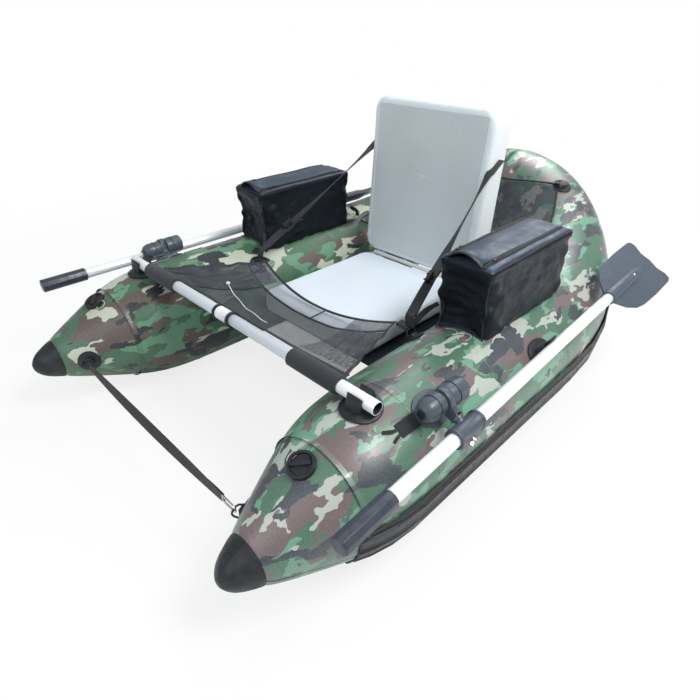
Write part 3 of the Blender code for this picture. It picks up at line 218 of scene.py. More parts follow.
def gridPiece(name, across, along, place, size):
    """A grid whose points go to place(u, v), both from 0 to 1, with its UV in metres."""
    bpy.ops.mesh.primitive_grid_add(x_subdivisions=across, y_subdivisions=along, size=1)
    obj = bpy.context.object
    obj.name = name
    for corner in obj.data.uv_layers.active.data:
        corner.uv = (corner.uv[0] * size[0], corner.uv[1] * size[1])
    for point in obj.data.vertices:
        point.co = place(point.co.x + 0.5, point.co.y + 0.5)
    return obj


def ribbon(name, points, across, width, thick, finish, steps=6, edge=0.0006):
    """A flat band along a path. across is the direction of its width, or one for each point."""
    path = smoothPath(points, steps)
    given = across if isinstance(across, list) else [across] * len(points)
    wide = smoothPath(given, steps)
    last = len(path) - 1

    def place(u, v):
        i = round(u * last)
        along = (path[min(i + 1, last)] - path[max(i - 1, 0)]).normalized()
        side = (wide[i] - along * wide[i].dot(along)).normalized()
        return path[i] + side * (v - 0.5) * width

    obj = gridPiece(name, last, 5, place, (pathLength(path), width))
    settle(obj, "SOLIDIFY", thickness=thick, offset=0)
    if edge:
        settle(obj, "BEVEL", width=min(edge, thick * 0.3), segments=2, limit_method="ANGLE", angle_limit=math.radians(50))
    return dress(obj, finish)


def line(name, points, radius, finish, steps=6, closed=False, ends=True):
    path = smoothPath(points, steps)
    bpy.ops.curve.primitive_bezier_curve_add()
    obj = bpy.context.object
    obj.name = name
    curve = obj.data
    curve.splines.clear()
    spline = curve.splines.new("POLY")
    spline.points.add(len(path) - 1)
    for point, spot in zip(spline.points, path):
        point.co = (*spot, 1)
    spline.use_cyclic_u = closed
    curve.dimensions = "3D"
    curve.bevel_depth = radius
    curve.bevel_resolution = 2
    curve.use_fill_caps = ends
    bpy.ops.object.convert(target="MESH")
    return dress(bpy.context.object, finish)


def smoothCopy(node, finish, levels=2, creases=None, swell=0.0):
    """A CAD node's own shape with its corners merged and its facets smoothed."""
    source = nodes[node]
    obj = source.copy()
    obj.data = source.data.copy()
    obj.name = node + "Smooth"
    for key in list(obj.keys()):
        del obj[key]
    obj.parent = None
    bpy.context.scene.collection.objects.link(obj)
    pick(obj)
    bpy.ops.object.mode_set(mode="EDIT")
    bpy.ops.mesh.select_all(action="SELECT")
    bpy.ops.mesh.remove_doubles(threshold=0.00002)
    bpy.ops.mesh.tris_convert_to_quads(face_threshold=math.radians(50), shape_threshold=math.radians(70))
    bpy.ops.mesh.normals_make_consistent(inside=False)
    bpy.ops.object.mode_set(mode="OBJECT")
    if creases:
        pick(obj)
        settle(obj, "BEVEL", width=creases, segments=2, limit_method="ANGLE", angle_limit=math.radians(50))
    if levels:
        settle(obj, "SUBSURF", levels=levels, render_levels=levels)
    if swell:
        settle(obj, "DISPLACE", strength=swell, mid_level=0)
    dress(obj, finish)
    bpy.ops.object.shade_smooth()
    return obj


# Finishes

def newFinish(name, colour, rough, metal=0.0, **plain):
    mat = bpy.data.materials.new(name)
    mat.use_nodes = True
    shader = mat.node_tree.nodes["Principled BSDF"]
    shader.inputs["Base Color"].default_value = (*colour, 1)
    shader.inputs["Roughness"].default_value = rough
    shader.inputs["Metallic"].default_value = metal
    for socket, value in plain.items():
        shader.inputs[socket].default_value = value
    return mat, mat.node_tree, shader


def where(tree, scale=(1, 1, 1), shift=(0, 0, 0), source="Object"):
    coords, mapping = tree.nodes.new("ShaderNodeTexCoord"), tree.nodes.new("ShaderNodeMapping")
    mapping.inputs["Scale"].default_value = scale
    mapping.inputs["Location"].default_value = shift
    tree.links.new(coords.outputs[source], mapping.inputs["Vector"])
    return mapping.outputs[0]


def turned(tree):
    # How far a cloth faces up, from its own attribute; the bag cloth uses it to paint a sky reflection on its upward
    # faces
    node = tree.nodes.new("ShaderNodeAttribute")
    node.attribute_name = "facing"
    return node.outputs["Fac"]


def wire(tree, value, socket):
    if isinstance(value, (int, float)):
        socket.default_value = value
    elif isinstance(value, tuple):
        socket.default_value = value if len(value) == len(socket.default_value) else (*value, 1)
    else:
        tree.links.new(value, socket)


def cloud(tree, at, scale, detail=2.0, rough=0.5, bend=0.0, output="Fac"):
    node = tree.nodes.new("ShaderNodeTexNoise")
    wire(tree, at, node.inputs["Vector"])
    for socket, value in (("Scale", scale), ("Detail", detail), ("Roughness", rough), ("Distortion", bend)):
        node.inputs[socket].default_value = value
    return node.outputs[output]


def cells(tree, at, scale, feature="F1", spread=1.0, output="Distance"):
    node = tree.nodes.new("ShaderNodeTexVoronoi")
    node.feature = feature
    wire(tree, at, node.inputs["Vector"])
    node.inputs["Scale"].default_value = scale
    node.inputs["Randomness"].default_value = spread
    return node.outputs[output]


def sums(tree, kind, a, b=0.0, c=0.0):
    node = tree.nodes.new("ShaderNodeMath")
    node.operation = kind
    for value, socket in zip((a, b, c), node.inputs):
        wire(tree, value, socket)
    return node.outputs[0]


def mixed(tree, share, a, b, kind="MIX"):
    node = tree.nodes.new("ShaderNodeMix")
    node.data_type = "RGBA"
    node.blend_type = kind
    wire(tree, share, node.inputs["Factor"])
    wire(tree, a, node.inputs[6])
    wire(tree, b, node.inputs[7])
    return node.outputs[2]


def spread(tree, amount, low, high, start=0.0, end=1.0):
    node = tree.nodes.new("ShaderNodeMapRange")
    for value, socket in zip((amount, low, high, start, end), node.inputs):
        wire(tree, value, socket)
    return node.outputs[0]


def parts(tree, vector):
    node = tree.nodes.new("ShaderNodeSeparateXYZ")
    tree.links.new(vector, node.inputs[0])
    return node.outputs


def relief(tree, shader, height, strength, depth, after=None):
    node = tree.nodes.new("ShaderNodeBump")
    node.inputs["Strength"].default_value = strength
    node.inputs["Distance"].default_value = depth
    wire(tree, height, node.inputs["Height"])
    if after:
        tree.links.new(after, node.inputs["Normal"])
    tree.links.new(node.outputs[0], shader.inputs["Normal"])
    return node.outputs[0]


def camo(name, palette, shift):
    """Common woodland camouflage on coated cloth: brown, cream and dark shapes over green."""
    mat, tree, shader = newFinish(name, palette["green"], 0.42, **{"Coat Weight": palette["haze"], "Coat Roughness": 0.36})
    size = palette["size"]
    at = where(tree, (size, 0.43 * size, size), shift)
    wander = cloud(tree, at, 26, 2.0, output="Color")
    moved = tree.nodes.new("ShaderNodeVectorMath")
    moved.operation = "MULTIPLY_ADD"
    tree.links.new(wander, moved.inputs[0])
    moved.inputs[1].default_value = (0.062, 0.062, 0.062)
    tree.links.new(at, moved.inputs[2])
    colour = palette["green"]
    for i, (tone, scale, limit) in enumerate((("leaf", 13.0, 0.545), ("brown", 12.0, 0.55), ("cream", 14.5, 0.605), ("dark", 14.0, 0.60))):
        offset = tree.nodes.new("ShaderNodeVectorMath")
        tree.links.new(moved.outputs[0], offset.inputs[0])
        offset.inputs[1].default_value = (1.7 * i, 2.3 * i, -1.1 * i)
        field = cloud(tree, offset.outputs[0], scale, 1.8, 0.42, 0.5)
        shape = sums(tree, "GREATER_THAN", field, limit)
        colour = mixed(tree, shape, colour, palette[tone])
    plain = where(tree)
    worn = spread(tree, cloud(tree, plain, 5, 3), 0.35, 0.7, 0.92, 1.08)
    colour = mixed(tree, 0.5, colour, mixed(tree, 1.0, colour, worn, "MULTIPLY"))
    fine = cloud(tree, plain, 420, 1.0)
    colour = mixed(tree, spread(tree, fine, 0.4, 0.75, 0.0, 0.10), colour, (0.55, 0.58, 0.58))
    tree.links.new(colour, shader.inputs["Base Color"])
    tree.links.new(spread(tree, cloud(tree, plain, 30, 3), 0.3, 0.7, 0.34, 0.52), shader.inputs["Roughness"])
    first = relief(tree, shader, cloud(tree, plain, 9, 3, 0.55, 0.4), 0.35, 0.006)
    weave = sums(tree, "ADD", cloud(tree, where(tree, (1, 0.1, 1)), 900, 0.0), cloud(tree, where(tree, (0.1, 1, 0.1)), 900, 0.0))
    relief(tree, shader, weave, 0.12, 0.0006, first)
    return mat


def rubber(name, colour, rough=0.5, grain=700, strength=0.25):
    mat, tree, shader = newFinish(name, colour, rough)
    at = where(tree)
    dust = spread(tree, cloud(tree, at, 35, 4), 0.42, 0.75, 0.0, 0.07)
    tree.links.new(mixed(tree, dust, colour, (0.22, 0.24, 0.25)), shader.inputs["Base Color"])
    tree.links.new(spread(tree, cloud(tree, at, 60, 3), 0.3, 0.7, rough - 0.1, rough + 0.12), shader.inputs["Roughness"])
    relief(tree, shader, cloud(tree, at, grain, 2), strength, 0.0005)
    return mat


def ribbed(name, colour, rough, pitch):
    mat, tree, shader = newFinish(name, colour, rough)
    at = where(tree)
    wave = sums(tree, "SINE", sums(tree, "MULTIPLY", parts(tree, at)[2], 2 * math.pi / pitch))
    dust = spread(tree, cloud(tree, at, 35, 4), 0.42, 0.75, 0.0, 0.07)
    raised = mixed(tree, dust, colour, (0.22, 0.24, 0.25))
    # The troughs between the ribs are painted near black: painted shade in the grooves
    tree.links.new(mixed(tree, spread(tree, wave, -1, -0.2, 0.75, 0.0), raised, (0.003, 0.003, 0.004)), shader.inputs["Base Color"])
    tree.links.new(spread(tree, cloud(tree, at, 60, 3), 0.3, 0.7, rough - 0.1, rough + 0.12), shader.inputs["Roughness"])
    first = relief(tree, shader, wave, 0.8, 0.0012)
    relief(tree, shader, cloud(tree, at, 500, 2), 0.15, 0.0005, first)
    return mat


def boardCloth(name, colour, shade, dotted=1.0, flat=(1, 1, 1)):
    """Inflatable board cloth with slanting rows of small raised dots."""
    mat, tree, shader = newFinish(name, colour, 0.42, **{"Sheen Weight": 0.12, "Coat Weight": 0.08, "Coat Roughness": 0.35})
    at = where(tree)
    slanted = where(tree, flat)
    slanted.node.inputs["Rotation"].default_value = tuple(math.radians(45) * (1 - share) for share in flat)
    dots = cells(tree, slanted, 135, spread=0.14)
    low = spread(tree, dots, 0.25, 0.5, 0.0, 1.0)
    tinted = mixed(tree, spread(tree, low, 0, 1, 0.0, 0.45 * dotted), colour, shade)
    soiled = spread(tree, cloud(tree, at, 6, 4), 0.4, 0.75, 0.0, 0.22)
    tinted = mixed(tree, soiled, tinted, shade)
    tree.links.new(tinted, shader.inputs["Base Color"])
    first = relief(tree, shader, cloud(tree, at, 16, 3), 0.10, 0.004)
    relief(tree, shader, sums(tree, "SUBTRACT", 1.0, dots), 0.35 * dotted, 0.0009, first)
    return mat


def nylon(name, colour, rough=0.42):
    """Coated bag cloth with a fine square weave and soft creases."""
    mat, tree, shader = newFinish(name, colour, rough, **{"Specular IOR Level": 0.34, "Specular Tint": (0.70, 0.82, 1, 1)})
    at = where(tree)
    tone = spread(tree, cloud(tree, at, 11, 4), 0.35, 0.7, 0.0, 0.30)
    # Upward faces of the bag cloth are painted paler and bluer: a painted sky reflection
    top = spread(tree, turned(tree), 0.55, 0.95, 0.0, 1.0)
    base = mixed(tree, tone, colour, (0.010, 0.013, 0.020))
    tree.links.new(mixed(tree, top, base, (0.040, 0.054, 0.082)), shader.inputs["Base Color"])
    tree.links.new(spread(tree, cloud(tree, at, 28, 3), 0.3, 0.7, rough - 0.12, rough + 0.1), shader.inputs["Roughness"])
    folds = cloud(tree, where(tree, (1, 1, 1.6)), 17, 3, 0.5, 1.4)
    first = relief(tree, shader, folds, 0.20, 0.007)
    small = relief(tree, shader, cloud(tree, at, 40, 2, 0.4, 0.8), 0.05, 0.003, first)
    weave = sums(tree, "ADD", cells(tree, at, 900, spread=0.1), 0)
    relief(tree, shader, weave, 0.2, 0.0005, small)
    return mat


def webbing(name, colour):
    """Woven tape: ribs across it and a slanting weave, in metres on its own UV."""
    mat, tree, shader = newFinish(name, colour, 0.55, **{"Sheen Weight": 0.06})
    at = where(tree, source="UV")
    along, over, _ = parts(tree, at)
    ribs = sums(tree, "SINE", sums(tree, "MULTIPLY", along, 2600))
    slant = sums(tree, "SINE", sums(tree, "ADD", sums(tree, "MULTIPLY", along, 1300), sums(tree, "MULTIPLY", over, 2900)))
    weave = sums(tree, "ADD", ribs, slant)
    tone = spread(tree, weave, -2, 2, 0.0, 0.35)
    tree.links.new(mixed(tree, tone, colour, (0.030, 0.033, 0.040)), shader.inputs["Base Color"])
    relief(tree, shader, weave, 0.5, 0.0007)
    return mat


def netting(name, colour, pitch, thread):
    """Knitted net: threads both ways with clear gaps between them, in metres on its own UV."""
    mat, tree, shader = newFinish(name, colour, 0.6, **{"Sheen Weight": 0.04})
    at = where(tree, source="UV")
    along, over, _ = parts(tree, at)
    wave = sums(tree, "MULTIPLY", sums(tree, "SINE", sums(tree, "MULTIPLY", over, 3.1416 / pitch)), pitch * 0.22)
    along = sums(tree, "ADD", along, wave)
    lines = []
    for value in (along, over):
        phase = sums(tree, "FRACT", sums(tree, "DIVIDE", value, pitch))
        lines.append(sums(tree, "ABSOLUTE", sums(tree, "SUBTRACT", phase, 0.5)))
    nearest = sums(tree, "MAXIMUM", *lines)
    solid = sums(tree, "GREATER_THAN", nearest, 0.5 - thread / 2)
    tree.links.new(solid, shader.inputs["Alpha"])
    worn = tuple(1.5 * part for part in colour)
    tree.links.new(mixed(tree, spread(tree, cloud(tree, at, 20, 3), 0.35, 0.7, 0, 1.0), colour, worn), shader.inputs["Base Color"])
    return mat


def foam(name, colour):
    mat, tree, shader = newFinish(name, colour, 0.85, **{"Sheen Weight": 0.15})
    at = where(tree)
    pores = cells(tree, at, 800)
    tree.links.new(mixed(tree, spread(tree, pores, 0.1, 0.6, 0.35, 0.0), colour, (0.05, 0.055, 0.065)), shader.inputs["Base Color"])
    relief(tree, shader, pores, 0.6, 0.0008)
    return mat


def metal(name, colour, rough, metallic, along=(1, 1, 1)):
    mat, tree, shader = newFinish(name, colour, rough, metallic)
    streaks = cloud(tree, where(tree, along), 120, 4, 0.6)
    tree.links.new(spread(tree, streaks, 0.3, 0.7, rough - 0.08, rough + 0.12), shader.inputs["Roughness"])
    marks = spread(tree, cloud(tree, where(tree), 22, 4), 0.45, 0.8, 0.0, 0.14)
    dull = tuple(0.72 * part for part in colour)
    tree.links.new(mixed(tree, marks, colour, dull), shader.inputs["Base Color"])
    relief(tree, shader, streaks, 0.05, 0.0004)
    return mat


def plastic(name, colour, rough=0.38):
    mat, tree, shader = newFinish(name, colour, rough)
    at = where(tree)
    scuffs = spread(tree, cloud(tree, at, 90, 5, 0.65), 0.5, 0.8, 0.0, 0.25)
    pale = tuple(min(1, 0.04 + 1.4 * part) for part in colour)
    tree.links.new(mixed(tree, scuffs, colour, pale), shader.inputs["Base Color"])
    tree.links.new(spread(tree, cloud(tree, at, 40, 3), 0.3, 0.7, rough - 0.06, rough + 0.16), shader.inputs["Roughness"])
    relief(tree, shader, cloud(tree, at, 1100, 1), 0.18, 0.0003)
    return mat


# Both tubes are one camouflage cloth; the starboard palette is mostly darker than the port one: painted shade on the
# starboard tube and painted light on the port tube
litAndShadedCamoTones = {
    "port": {"green": (0.050, 0.140, 0.085), "leaf": (0.12, 0.30, 0.20), "brown": (0.140, 0.096, 0.098), "cream": (0.42, 0.46, 0.41), "dark": (0.022, 0.034, 0.045), "haze": 0.85, "size": 1.4},
    "starboard": {"green": (0.040, 0.125, 0.062), "leaf": (0.10, 0.25, 0.15), "brown": (0.095, 0.066, 0.056), "cream": (0.47, 0.51, 0.41), "dark": (0.008, 0.014, 0.017), "haze": 0.30, "size": 1.1},
}
finishes = {
    "portCamo": camo("portCamo", litAndShadedCamoTones["port"], (0.4, 0.1, 0.2)),
    "starboardCamo": camo("starboardCamo", litAndShadedCamoTones["starboard"], (3.1, 1.7, 0.9)),
    "rubber": rubber("blackRubber", (0.006, 0.008, 0.011), 0.48),
    "softRubber": rubber("gripRubber", (0.034, 0.043, 0.058), 0.34, 300, 0.15),
    "strake": ribbed("strakeRubber", (0.016, 0.019, 0.023), 0.40, 0.0125),
    "seat": boardCloth("paleBoard", (0.76, 0.85, 0.93), (0.64, 0.72, 0.80), 0.7, (1, 1, 0)),
    "back": boardCloth("greyBoard", (0.67, 0.725, 0.745), (0.40, 0.44, 0.455), 1.0, (1, 0, 1)),
    "edge": boardCloth("boardEdge", (0.76, 0.82, 0.86), (0.64, 0.70, 0.745), 0.12),
    "nylon": nylon("blackNylon", (0.0028, 0.0040, 0.0066), 0.44),
    "webbing": webbing("blackWebbing", (0.008, 0.009, 0.011)),
    # The apron net is black; this thread is painted light grey: painted sheen, and painted light over the shaded seat
    # front seen through it
    "net": netting("blackNetPaintedSheen", (0.20, 0.215, 0.24), 0.0028, 0.26),
    "denseNet": netting("denseNet", (0.032, 0.040, 0.045), 0.0028, 0.52),
    "cargoNet": netting("cargoNet", (0.036, 0.040, 0.052), 0.0032, 0.32),
    "binding": webbing("blackBinding", (0.005, 0.006, 0.007)),
    "plastic": plastic("blackPlastic", (0.012, 0.014, 0.018)),
    "darkPlastic": plastic("darkPlastic", (0.062, 0.078, 0.100), 0.34),
    "slate": plastic("slatePlastic", (0.060, 0.078, 0.108), 0.36),
    "foam": foam("blackFoam", (0.018, 0.021, 0.026)),
    "satin": metal("satinAluminium", (0.70, 0.75, 0.80), 0.38, 0.40, (0.05, 1, 1)),
    "white": metal("whiteTube", (0.86, 0.88, 0.90), 0.28, 0.15, (1, 0.05, 1)),
    "steel": metal("brightSteel", (0.62, 0.62, 0.60), 0.24, 1.0),
    "piping2": rubber("clothPiping", (0.006, 0.008, 0.012), 0.42, 900, 0.3),
    "binding2": rubber("netHem", (0.006, 0.007, 0.009), 0.5, 900, 0.3),
    "tether": rubber("paleTether", (0.42, 0.43, 0.38), 0.6, 900, 0.4),
    "spot": boardCloth("spotCloth", (0.62, 0.66, 0.665), (0.52, 0.56, 0.57), 0.2),
    "cord": rubber("whiteCord", (0.70, 0.72, 0.72), 0.7, 900, 0.6),
}
print("finishes are ready")


# Pieces carried over from the CAD, with merged corners and rounded edges


def bodyOf(node):
    return nodes[node]["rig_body"]


def belongs(obj, node, *others):
    """obj rides with a CAD node's body and stands for it and for the others."""
    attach(obj, bodyOf(node))
    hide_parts(node, *others)
    return obj


def goesWith(obj, node):
    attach(obj, bodyOf(node))
    return obj


def cleanCopy(node, finish, soften=0.0004, segments=2):
    source = nodes[node]
    obj = source.copy()
    obj.data = source.data.copy()
    obj.name = node + "Piece"
    for key in list(obj.keys()):
        del obj[key]
    obj.parent = None
    bpy.context.scene.collection.objects.link(obj)
    pick(obj)
    bpy.ops.object.mode_set(mode="EDIT")
    bpy.ops.mesh.select_all(action="SELECT")
    bpy.ops.mesh.remove_doubles(threshold=0.00002)
    bpy.ops.mesh.dissolve_limited(angle_limit=math.radians(1))
    bpy.ops.mesh.normals_make_consistent(inside=False)
    bpy.ops.object.mode_set(mode="OBJECT")
    if soften:
        settle(obj, "BEVEL", width=soften, segments=segments, limit_method="ANGLE", angle_limit=math.radians(40))
    dress(obj, finish)
    return belongs(obj, node)


hardPieces = {
    "valve_body": ("rubber", 0.0006), "valve_cap": ("plastic", 0.0005), "strap_buckle": ("plastic", 0.0012),
    "strap_anchor": ("rubber", 0.0004), "bar_saddle": ("rubber", 0.0010), "apron_buckle": ("plastic", 0.0008),
    "net_anchor": ("rubber", 0.0004), "bow_ring": ("rubber", 0.0004), "oar_snap_button": ("steel", 0.0003),
    "oar_collar": ("darkPlastic", 0.0006), "collar_bolt": ("steel", 0.0004), "rowlock_arm": ("darkPlastic", 0.0007),
    "rowlock_block": ("darkPlastic", 0.0008), "oar_clip": ("plastic", 0.0008), "oar_blade": ("slate", 0.0008),
    "oar_grip": ("softRubber", 0.0004), "foam_grip": ("foam", 0.0010), "rub_strake": ("strake", 0.0010),
}
barLook = {"foamStart": 0.2375, "foamEnd": 0.3860}
made = {}
for side, sign in sides:
    for kind, (finish, soften) in hardPieces.items():
        node = f"{side}_{kind}"
        made[node] = cleanCopy(node, finishes[finish], soften)
    tube = made[f"{side}_bar_tube"] = cleanCopy(f"{side}_bar_tube", finishes["satin"], 0.0003)
    tube.data.materials.append(finishes["white"])
    tube.data.materials.append(finishes["plastic"])
    pick(tube)
    bpy.ops.object.mode_set(mode="EDIT")
    for cut in (barLook["foamEnd"], barLook["foamStart"]):
        bpy.ops.mesh.select_all(action="SELECT")
        bpy.ops.mesh.bisect(plane_co=(sign * cut, 0, 0), plane_no=(1, 0, 0))
    bpy.ops.object.mode_set(mode="OBJECT")
    low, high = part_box(f"{side}_bar_tube")
    for face in tube.data.polygons:
        away = sign * face.center.x
        offset = face.center - (low + high) / 2
        inside = offset.y * face.normal.y + offset.z * face.normal.z < 0
        face.material_index = 2 if inside and abs(face.normal.x) < 0.8 else 1 if away > barLook["foamEnd"] else 0
    made[f"{side}_oar_shaft"] = cleanCopy(f"{side}_oar_shaft", finishes["white"], 0.0003)
ferrule = made["bar_ferrule"] = cleanCopy("bar_ferrule", finishes["white"], 0.0006)
ferrule.data.materials.append(finishes["plastic"])
for face in ferrule.data.polygons:
    face.material_index = 1 if abs(face.center.x + 0.012) > 0.0235 else 0
made["backrest_hinge"] = cleanCopy("backrest_hinge", finishes["spot"], 0.0005)
made["backrest_valve"] = cleanCopy("backrest_valve", finishes["plastic"], 0.0006)
made["bow_snap_hook"] = cleanCopy("bow_snap_hook", finishes["steel"], 0.0003)
made["seat_sling"] = cleanCopy("seat_sling", finishes["nylon"], 0.0006)
print("hard pieces are in place")


# Tubes

for side, sign in sides:
    chamber = smoothCopy(f"{side}_air_chamber", finishes[f"{side}Camo"], 2)
    made[f"{side}_air_chamber"] = belongs(chamber, f"{side}_air_chamber")
    nose = smoothCopy(f"{side}_nose_cone", finishes["rubber"], 2)
    made[f"{side}_nose_cone"] = belongs(nose, f"{side}_nose_cone")
print("tubes are in place")


# Seat and backrest

def inflate(node, finish, edgeFinish, facing, pressure, most, border=0.0):
    """A board blown up a little: its threads keep the two faces flat, its edge swells by a few millimetres."""
    source = nodes[node]
    obj = source.copy()
    obj.data = source.data.copy()
    obj.name = node + "Board"
    for key in list(obj.keys()):
        del obj[key]
    obj.parent = None
    bpy.context.scene.collection.objects.link(obj)
    pick(obj)
    bpy.ops.object.mode_set(mode="EDIT")
    bpy.ops.mesh.select_all(action="SELECT")
    bpy.ops.mesh.remove_doubles(threshold=0.00002)
    bpy.ops.object.mode_set(mode="OBJECT")
    settle(obj, "REMESH", mode="VOXEL", voxel_size=0.006)
    settle(obj, "SMOOTH", factor=0.5, iterations=3)
    low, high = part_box(node)
    second = 1 if abs(facing.z) > 0.5 else 2
    for way in (facing, -facing):
        near = [point for point in obj.data.vertices if point.normal.dot(way) > 0.8 and min(
            point.co.x - low.x, high.x - point.co.x, point.co[second] - low[second], high[second] - point.co[second]) > 0.019]
        level = sorted(point.co.dot(way) for point in near)[len(near) // 2]
        for point in near:
            point.co += way * (level - point.co.dot(way))
    obj.data.materials.clear()
    obj.data.materials.append(finish)
    obj.data.materials.append(edgeFinish)
    for face in obj.data.polygons:
        spot = face.center
        rim = min(spot.x - low.x, high.x - spot.x, high.z - spot.z) if border else 1
        face.material_index = 0 if abs(face.normal.dot(facing)) > 0.97 and rim > border else 1
    rest = [(v.co.copy(), v.normal.copy()) for v in obj.data.vertices]
    cloth = obj.modifiers.new("air", "CLOTH")
    cloth.settings.use_pressure = True
    cloth.settings.uniform_pressure_force = pressure
    cloth.settings.tension_stiffness = cloth.settings.compression_stiffness = 60
    cloth.settings.bending_stiffness = 8
    cloth.settings.effector_weights.gravity = 0
    cloth.point_cache.frame_start, cloth.point_cache.frame_end = 1, 20
    scene = bpy.context.scene
    for step in range(1, 21):
        scene.frame_set(step)
    pick(obj)
    bpy.ops.object.modifier_apply(modifier="air")
    scene.frame_set(1)
    for point, (before, faced) in zip(obj.data.vertices, rest):
        moved = point.co - before
        if moved.length > most:
            moved = moved.normalized() * most
        held = min(1, max(0, abs(faced.dot(facing)) - 0.6) / 0.3)
        moved -= facing * moved.dot(facing) * held
        point.co = before + moved - facing * 0.0008 * max(0, faced.dot(facing))
    settle(obj, "SUBSURF", levels=1, render_levels=1)
    pick(obj)
    bpy.ops.object.shade_smooth()
    return belongs(obj, node)


lean = math.radians(4.5)
backFacing = Vector((0, -math.cos(lean), math.sin(lean)))
seatBoard = inflate("seat_cushion", finishes["seat"], finishes["edge"], up, 4, 0.004)
backBoard = inflate("backrest", finishes["back"], finishes["edge"], backFacing, 4, 0.004, 0.024)
print("seat and backrest are in place")


# Soft boxes for the bags

def softBox(name, low, high, round, cuts, openSide, shape):
    """A cloth box with one open side: +1 the top, -1 the bottom. shape moves each point, given its place and outward way."""
    size, middle = high - low, (high + low) / 2
    bpy.ops.mesh.primitive_cube_add(size=1, location=middle, scale=size)
    obj = bpy.context.object
    obj.name = name
    bpy.ops.object.transform_apply(location=True, rotation=False, scale=True)
    for part in (*obj.data.vertices, *obj.data.edges, *obj.data.polygons):
        part.select = False
    for face in obj.data.polygons:
        face.select = face.normal.z * openSide > 0.5
    pick(obj)
    bpy.ops.object.mode_set(mode="EDIT")
    bpy.ops.mesh.select_mode(type="FACE")
    bpy.ops.mesh.delete(type="FACE")
    bpy.ops.mesh.select_all(action="SELECT")
    bpy.ops.mesh.subdivide(number_cuts=cuts)
    bpy.ops.object.mode_set(mode="OBJECT")
    floor = low.z + (round if openSide > 0 else 0)
    roof = high.z - (round if openSide < 0 else 0)
    for point in obj.data.vertices:
        spot = point.co.copy()
        inner = Vector((
            min(max(spot.x, low.x + round), high.x - round),
            min(max(spot.y, low.y + round), high.y - round),
            min(max(spot.z, floor), roof),
        ))
        outward = spot - inner
        if outward.length > 0.00001:
            outward.normalize()
            spot = inner + outward * round
        share = Vector(((spot.x - low.x) / size.x, (spot.y - low.y) / size.y, (spot.z - low.z) / size.z))
        point.co = shape(spot, outward, share)
    return obj


def noteFacingForPaintedSky(obj):
    # Stores how far each point faces up, for the painted sky reflection on the bag cloth's top
    facing = obj.data.attributes.new("facing", "FLOAT", "POINT")
    facing.data.foreach_set("value", [vertex.normal.z for vertex in obj.data.vertices])


def finishCloth(obj, finish, thick):
    settle(obj, "SOLIDIFY", thickness=thick, offset=-1)
    settle(obj, "SUBSURF", levels=1, render_levels=1)
    noteFacingForPaintedSky(obj)
    return dress(obj, finish)


def deckUnder(obj):
    return BVHTree.FromObject(obj, bpy.context.evaluated_depsgraph_get())


def above(deck, spot, lift=0.0, way=None, reach=0.25):
    """The place on a tube straight under a point, or back along the given way."""
    way = way or up
    met, _, _, _ = deck.ray_cast(Vector(spot) + way * reach, -way)
    return met + way * lift if met else Vector(spot)


bagLook = {"round": 0.017, "bulge": 0.007, "slack": 0.010, "crease": 0.0042, "thick": 0.0014, "cuts": 36, "flap": 0.088, "pinch": 0.026}
decks = {side: deckUnder(made[f"{side}_air_chamber"]) for side, _ in sides}


